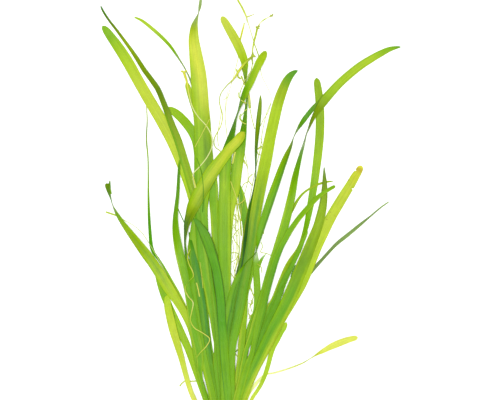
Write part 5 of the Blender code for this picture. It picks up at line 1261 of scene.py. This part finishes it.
def crownLoop(bm, low, high, share):
    back = high[1] + crown["front"] - share * (high[1] - low[1] + crown["front"])
    deep = high[2] - low[2]
    wide = (high[0] - low[0]) / 2 * (1 - crown["wideTaper"] * share ** crown["widePower"])
    wide *= crown["waist"] + crown["bulge"] * math.sin(share * crown["bulges"])
    tall = deep / 2 * (1 - crown["tallTaper"] * share ** crown["tallPower"]) * crown["tall"]
    if share < crown["lip"]:
        wide *= crown["lipSize"] + share * crown["lipSlope"]
        tall *= crown["lipSize"] + share * crown["lipSlope"]
    loop = []
    for k in range(crown["around"]):
        a = math.tau * k / crown["around"]
        across, up = math.cos(a) * crown["ridgeTurns"], math.sin(a) * crown["ridgeTurns"]
        grain = noise.noise(Vector((across, up, share * crown["ridgeLength"]))) * crown["ridges"] * 2
        fold = a * crown["folds"] + math.sin(share * crown["foldTurn"]) * 2
        grain += math.sin(fold) * crown["ridges"] * 0.5
        x = (low[0] + high[0]) / 2 + (wide - crown["inset"] + grain) * math.cos(a)
        z = low[2] + deep / 2 * (1 - share * crown["sink"]) + (tall - crown["inset"] + grain) * math.sin(a)
        loop.append(bm.verts.new((x, back, max(low[2] + crown["lift"], z))))
    return loop


def makeCrown():
    low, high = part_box("crown")
    bm = bmesh.new()
    loops = [crownLoop(bm, low, high, r / crown["rings"]) for r in range(crown["rings"] + 1)]
    for a, b in zip(loops[:-1], loops[1:]):
        for k in range(crown["around"]):
            m = (k + 1) % crown["around"]
            bm.faces.new((a[k], a[m], b[m], b[k]))
    bm.faces.new(tuple(reversed(loops[0])))
    bm.faces.new(tuple(loops[-1]))
    bmesh.ops.recalc_face_normals(bm, faces=bm.faces)
    for face in bm.faces:
        face.smooth = True
    mesh = bpy.data.meshes.new("crown_stock")
    bm.to_mesh(mesh)
    bm.free()
    mesh.materials.append(crownMaterial())
    piece("crown_stock", mesh, "crown", "crown")
    print("crown")


makeCrown()

floorLook = {"half": 3.0, "grey": 0.93, "roughness": 0.9, "gloss": 0.1, "glow": 0.15}
studio = {"sky": 0.2, "key": 3.3, "keyAngle": 12.0, "keyFrom": (-0.02, 0.02, 1.0),
          "fill": 0.25, "fillAngle": 40.0, "fillFrom": (0.8, -0.5, 0.9)}
view = {"distance": 1.9, "pixels": 500.0, "middle": (250.0, 200.0), "level": 0.004, "sensor": 36.0}


def makeFloor():
    # the glow keeps the gaps between leaves as pale as the photo's
    half, grey = floorLook["half"], floorLook["grey"]
    mesh = bpy.data.meshes.new("floor")
    corners = [(-half, -half, 0), (half, -half, 0), (half, half, 0), (-half, half, 0)]
    mesh.from_pydata(corners, [], [(0, 1, 2, 3)])
    finish, start = newFinish("paleFloor")
    skin = start.node("ShaderNodeBsdfPrincipled", None,
                      {"Base Color": (grey, grey, grey, 1.0), "Roughness": floorLook["roughness"],
                       "Specular IOR Level": floorLook["gloss"], "Emission Color": (1.0, 1.0, 1.0, 1.0),
                       "Emission Strength": floorLook["glow"]})
    start.node("ShaderNodeOutputMaterial", None, {"Surface": skin}, out=None)
    mesh.materials.append(finish)
    floor = bpy.data.objects.new("floor", mesh)
    sceneLinks.link(floor)


def softLight(name, strength, spread, away):
    # a wide soft light from the direction away
    lamp = bpy.data.lights.new(name, "SUN")
    lamp.energy = strength
    lamp.angle = math.radians(spread)
    made = bpy.data.objects.new(name, lamp)
    made.rotation_euler = (-Vector(away)).to_track_quat("-Z", "Y").to_euler()
    sceneLinks.link(made)


def makeStudio():
    world = bpy.data.worlds.new("studio")
    bpy.context.scene.world = world
    world.use_nodes = True
    sky = world.node_tree.nodes["Background"]
    sky.inputs[0].default_value = (1.0, 1.0, 1.0, 1.0)
    sky.inputs[1].default_value = studio["sky"]
    softLight("keyLight", studio["key"], studio["keyAngle"], studio["keyFrom"])
    softLight("fillLight", studio["fill"], studio["fillAngle"], studio["fillFrom"])


def makeCamera():
    # straight above, with the photo's frame at the height of the leaves
    lens = bpy.data.cameras.new("camera")
    lens.sensor_width = view["sensor"]
    lens.lens = view["sensor"] * (view["distance"] - view["level"]) / (view["pixels"] * photo["pixel"])
    camera = bpy.data.objects.new("camera", lens)
    camera.location = (*place(*view["middle"]), view["distance"])
    sceneLinks.link(camera)
    bpy.context.scene.camera = camera
    bpy.context.scene.view_settings.view_transform = "Standard"


makeFloor()
makeStudio()
makeCamera()
print("floor, light and camera")
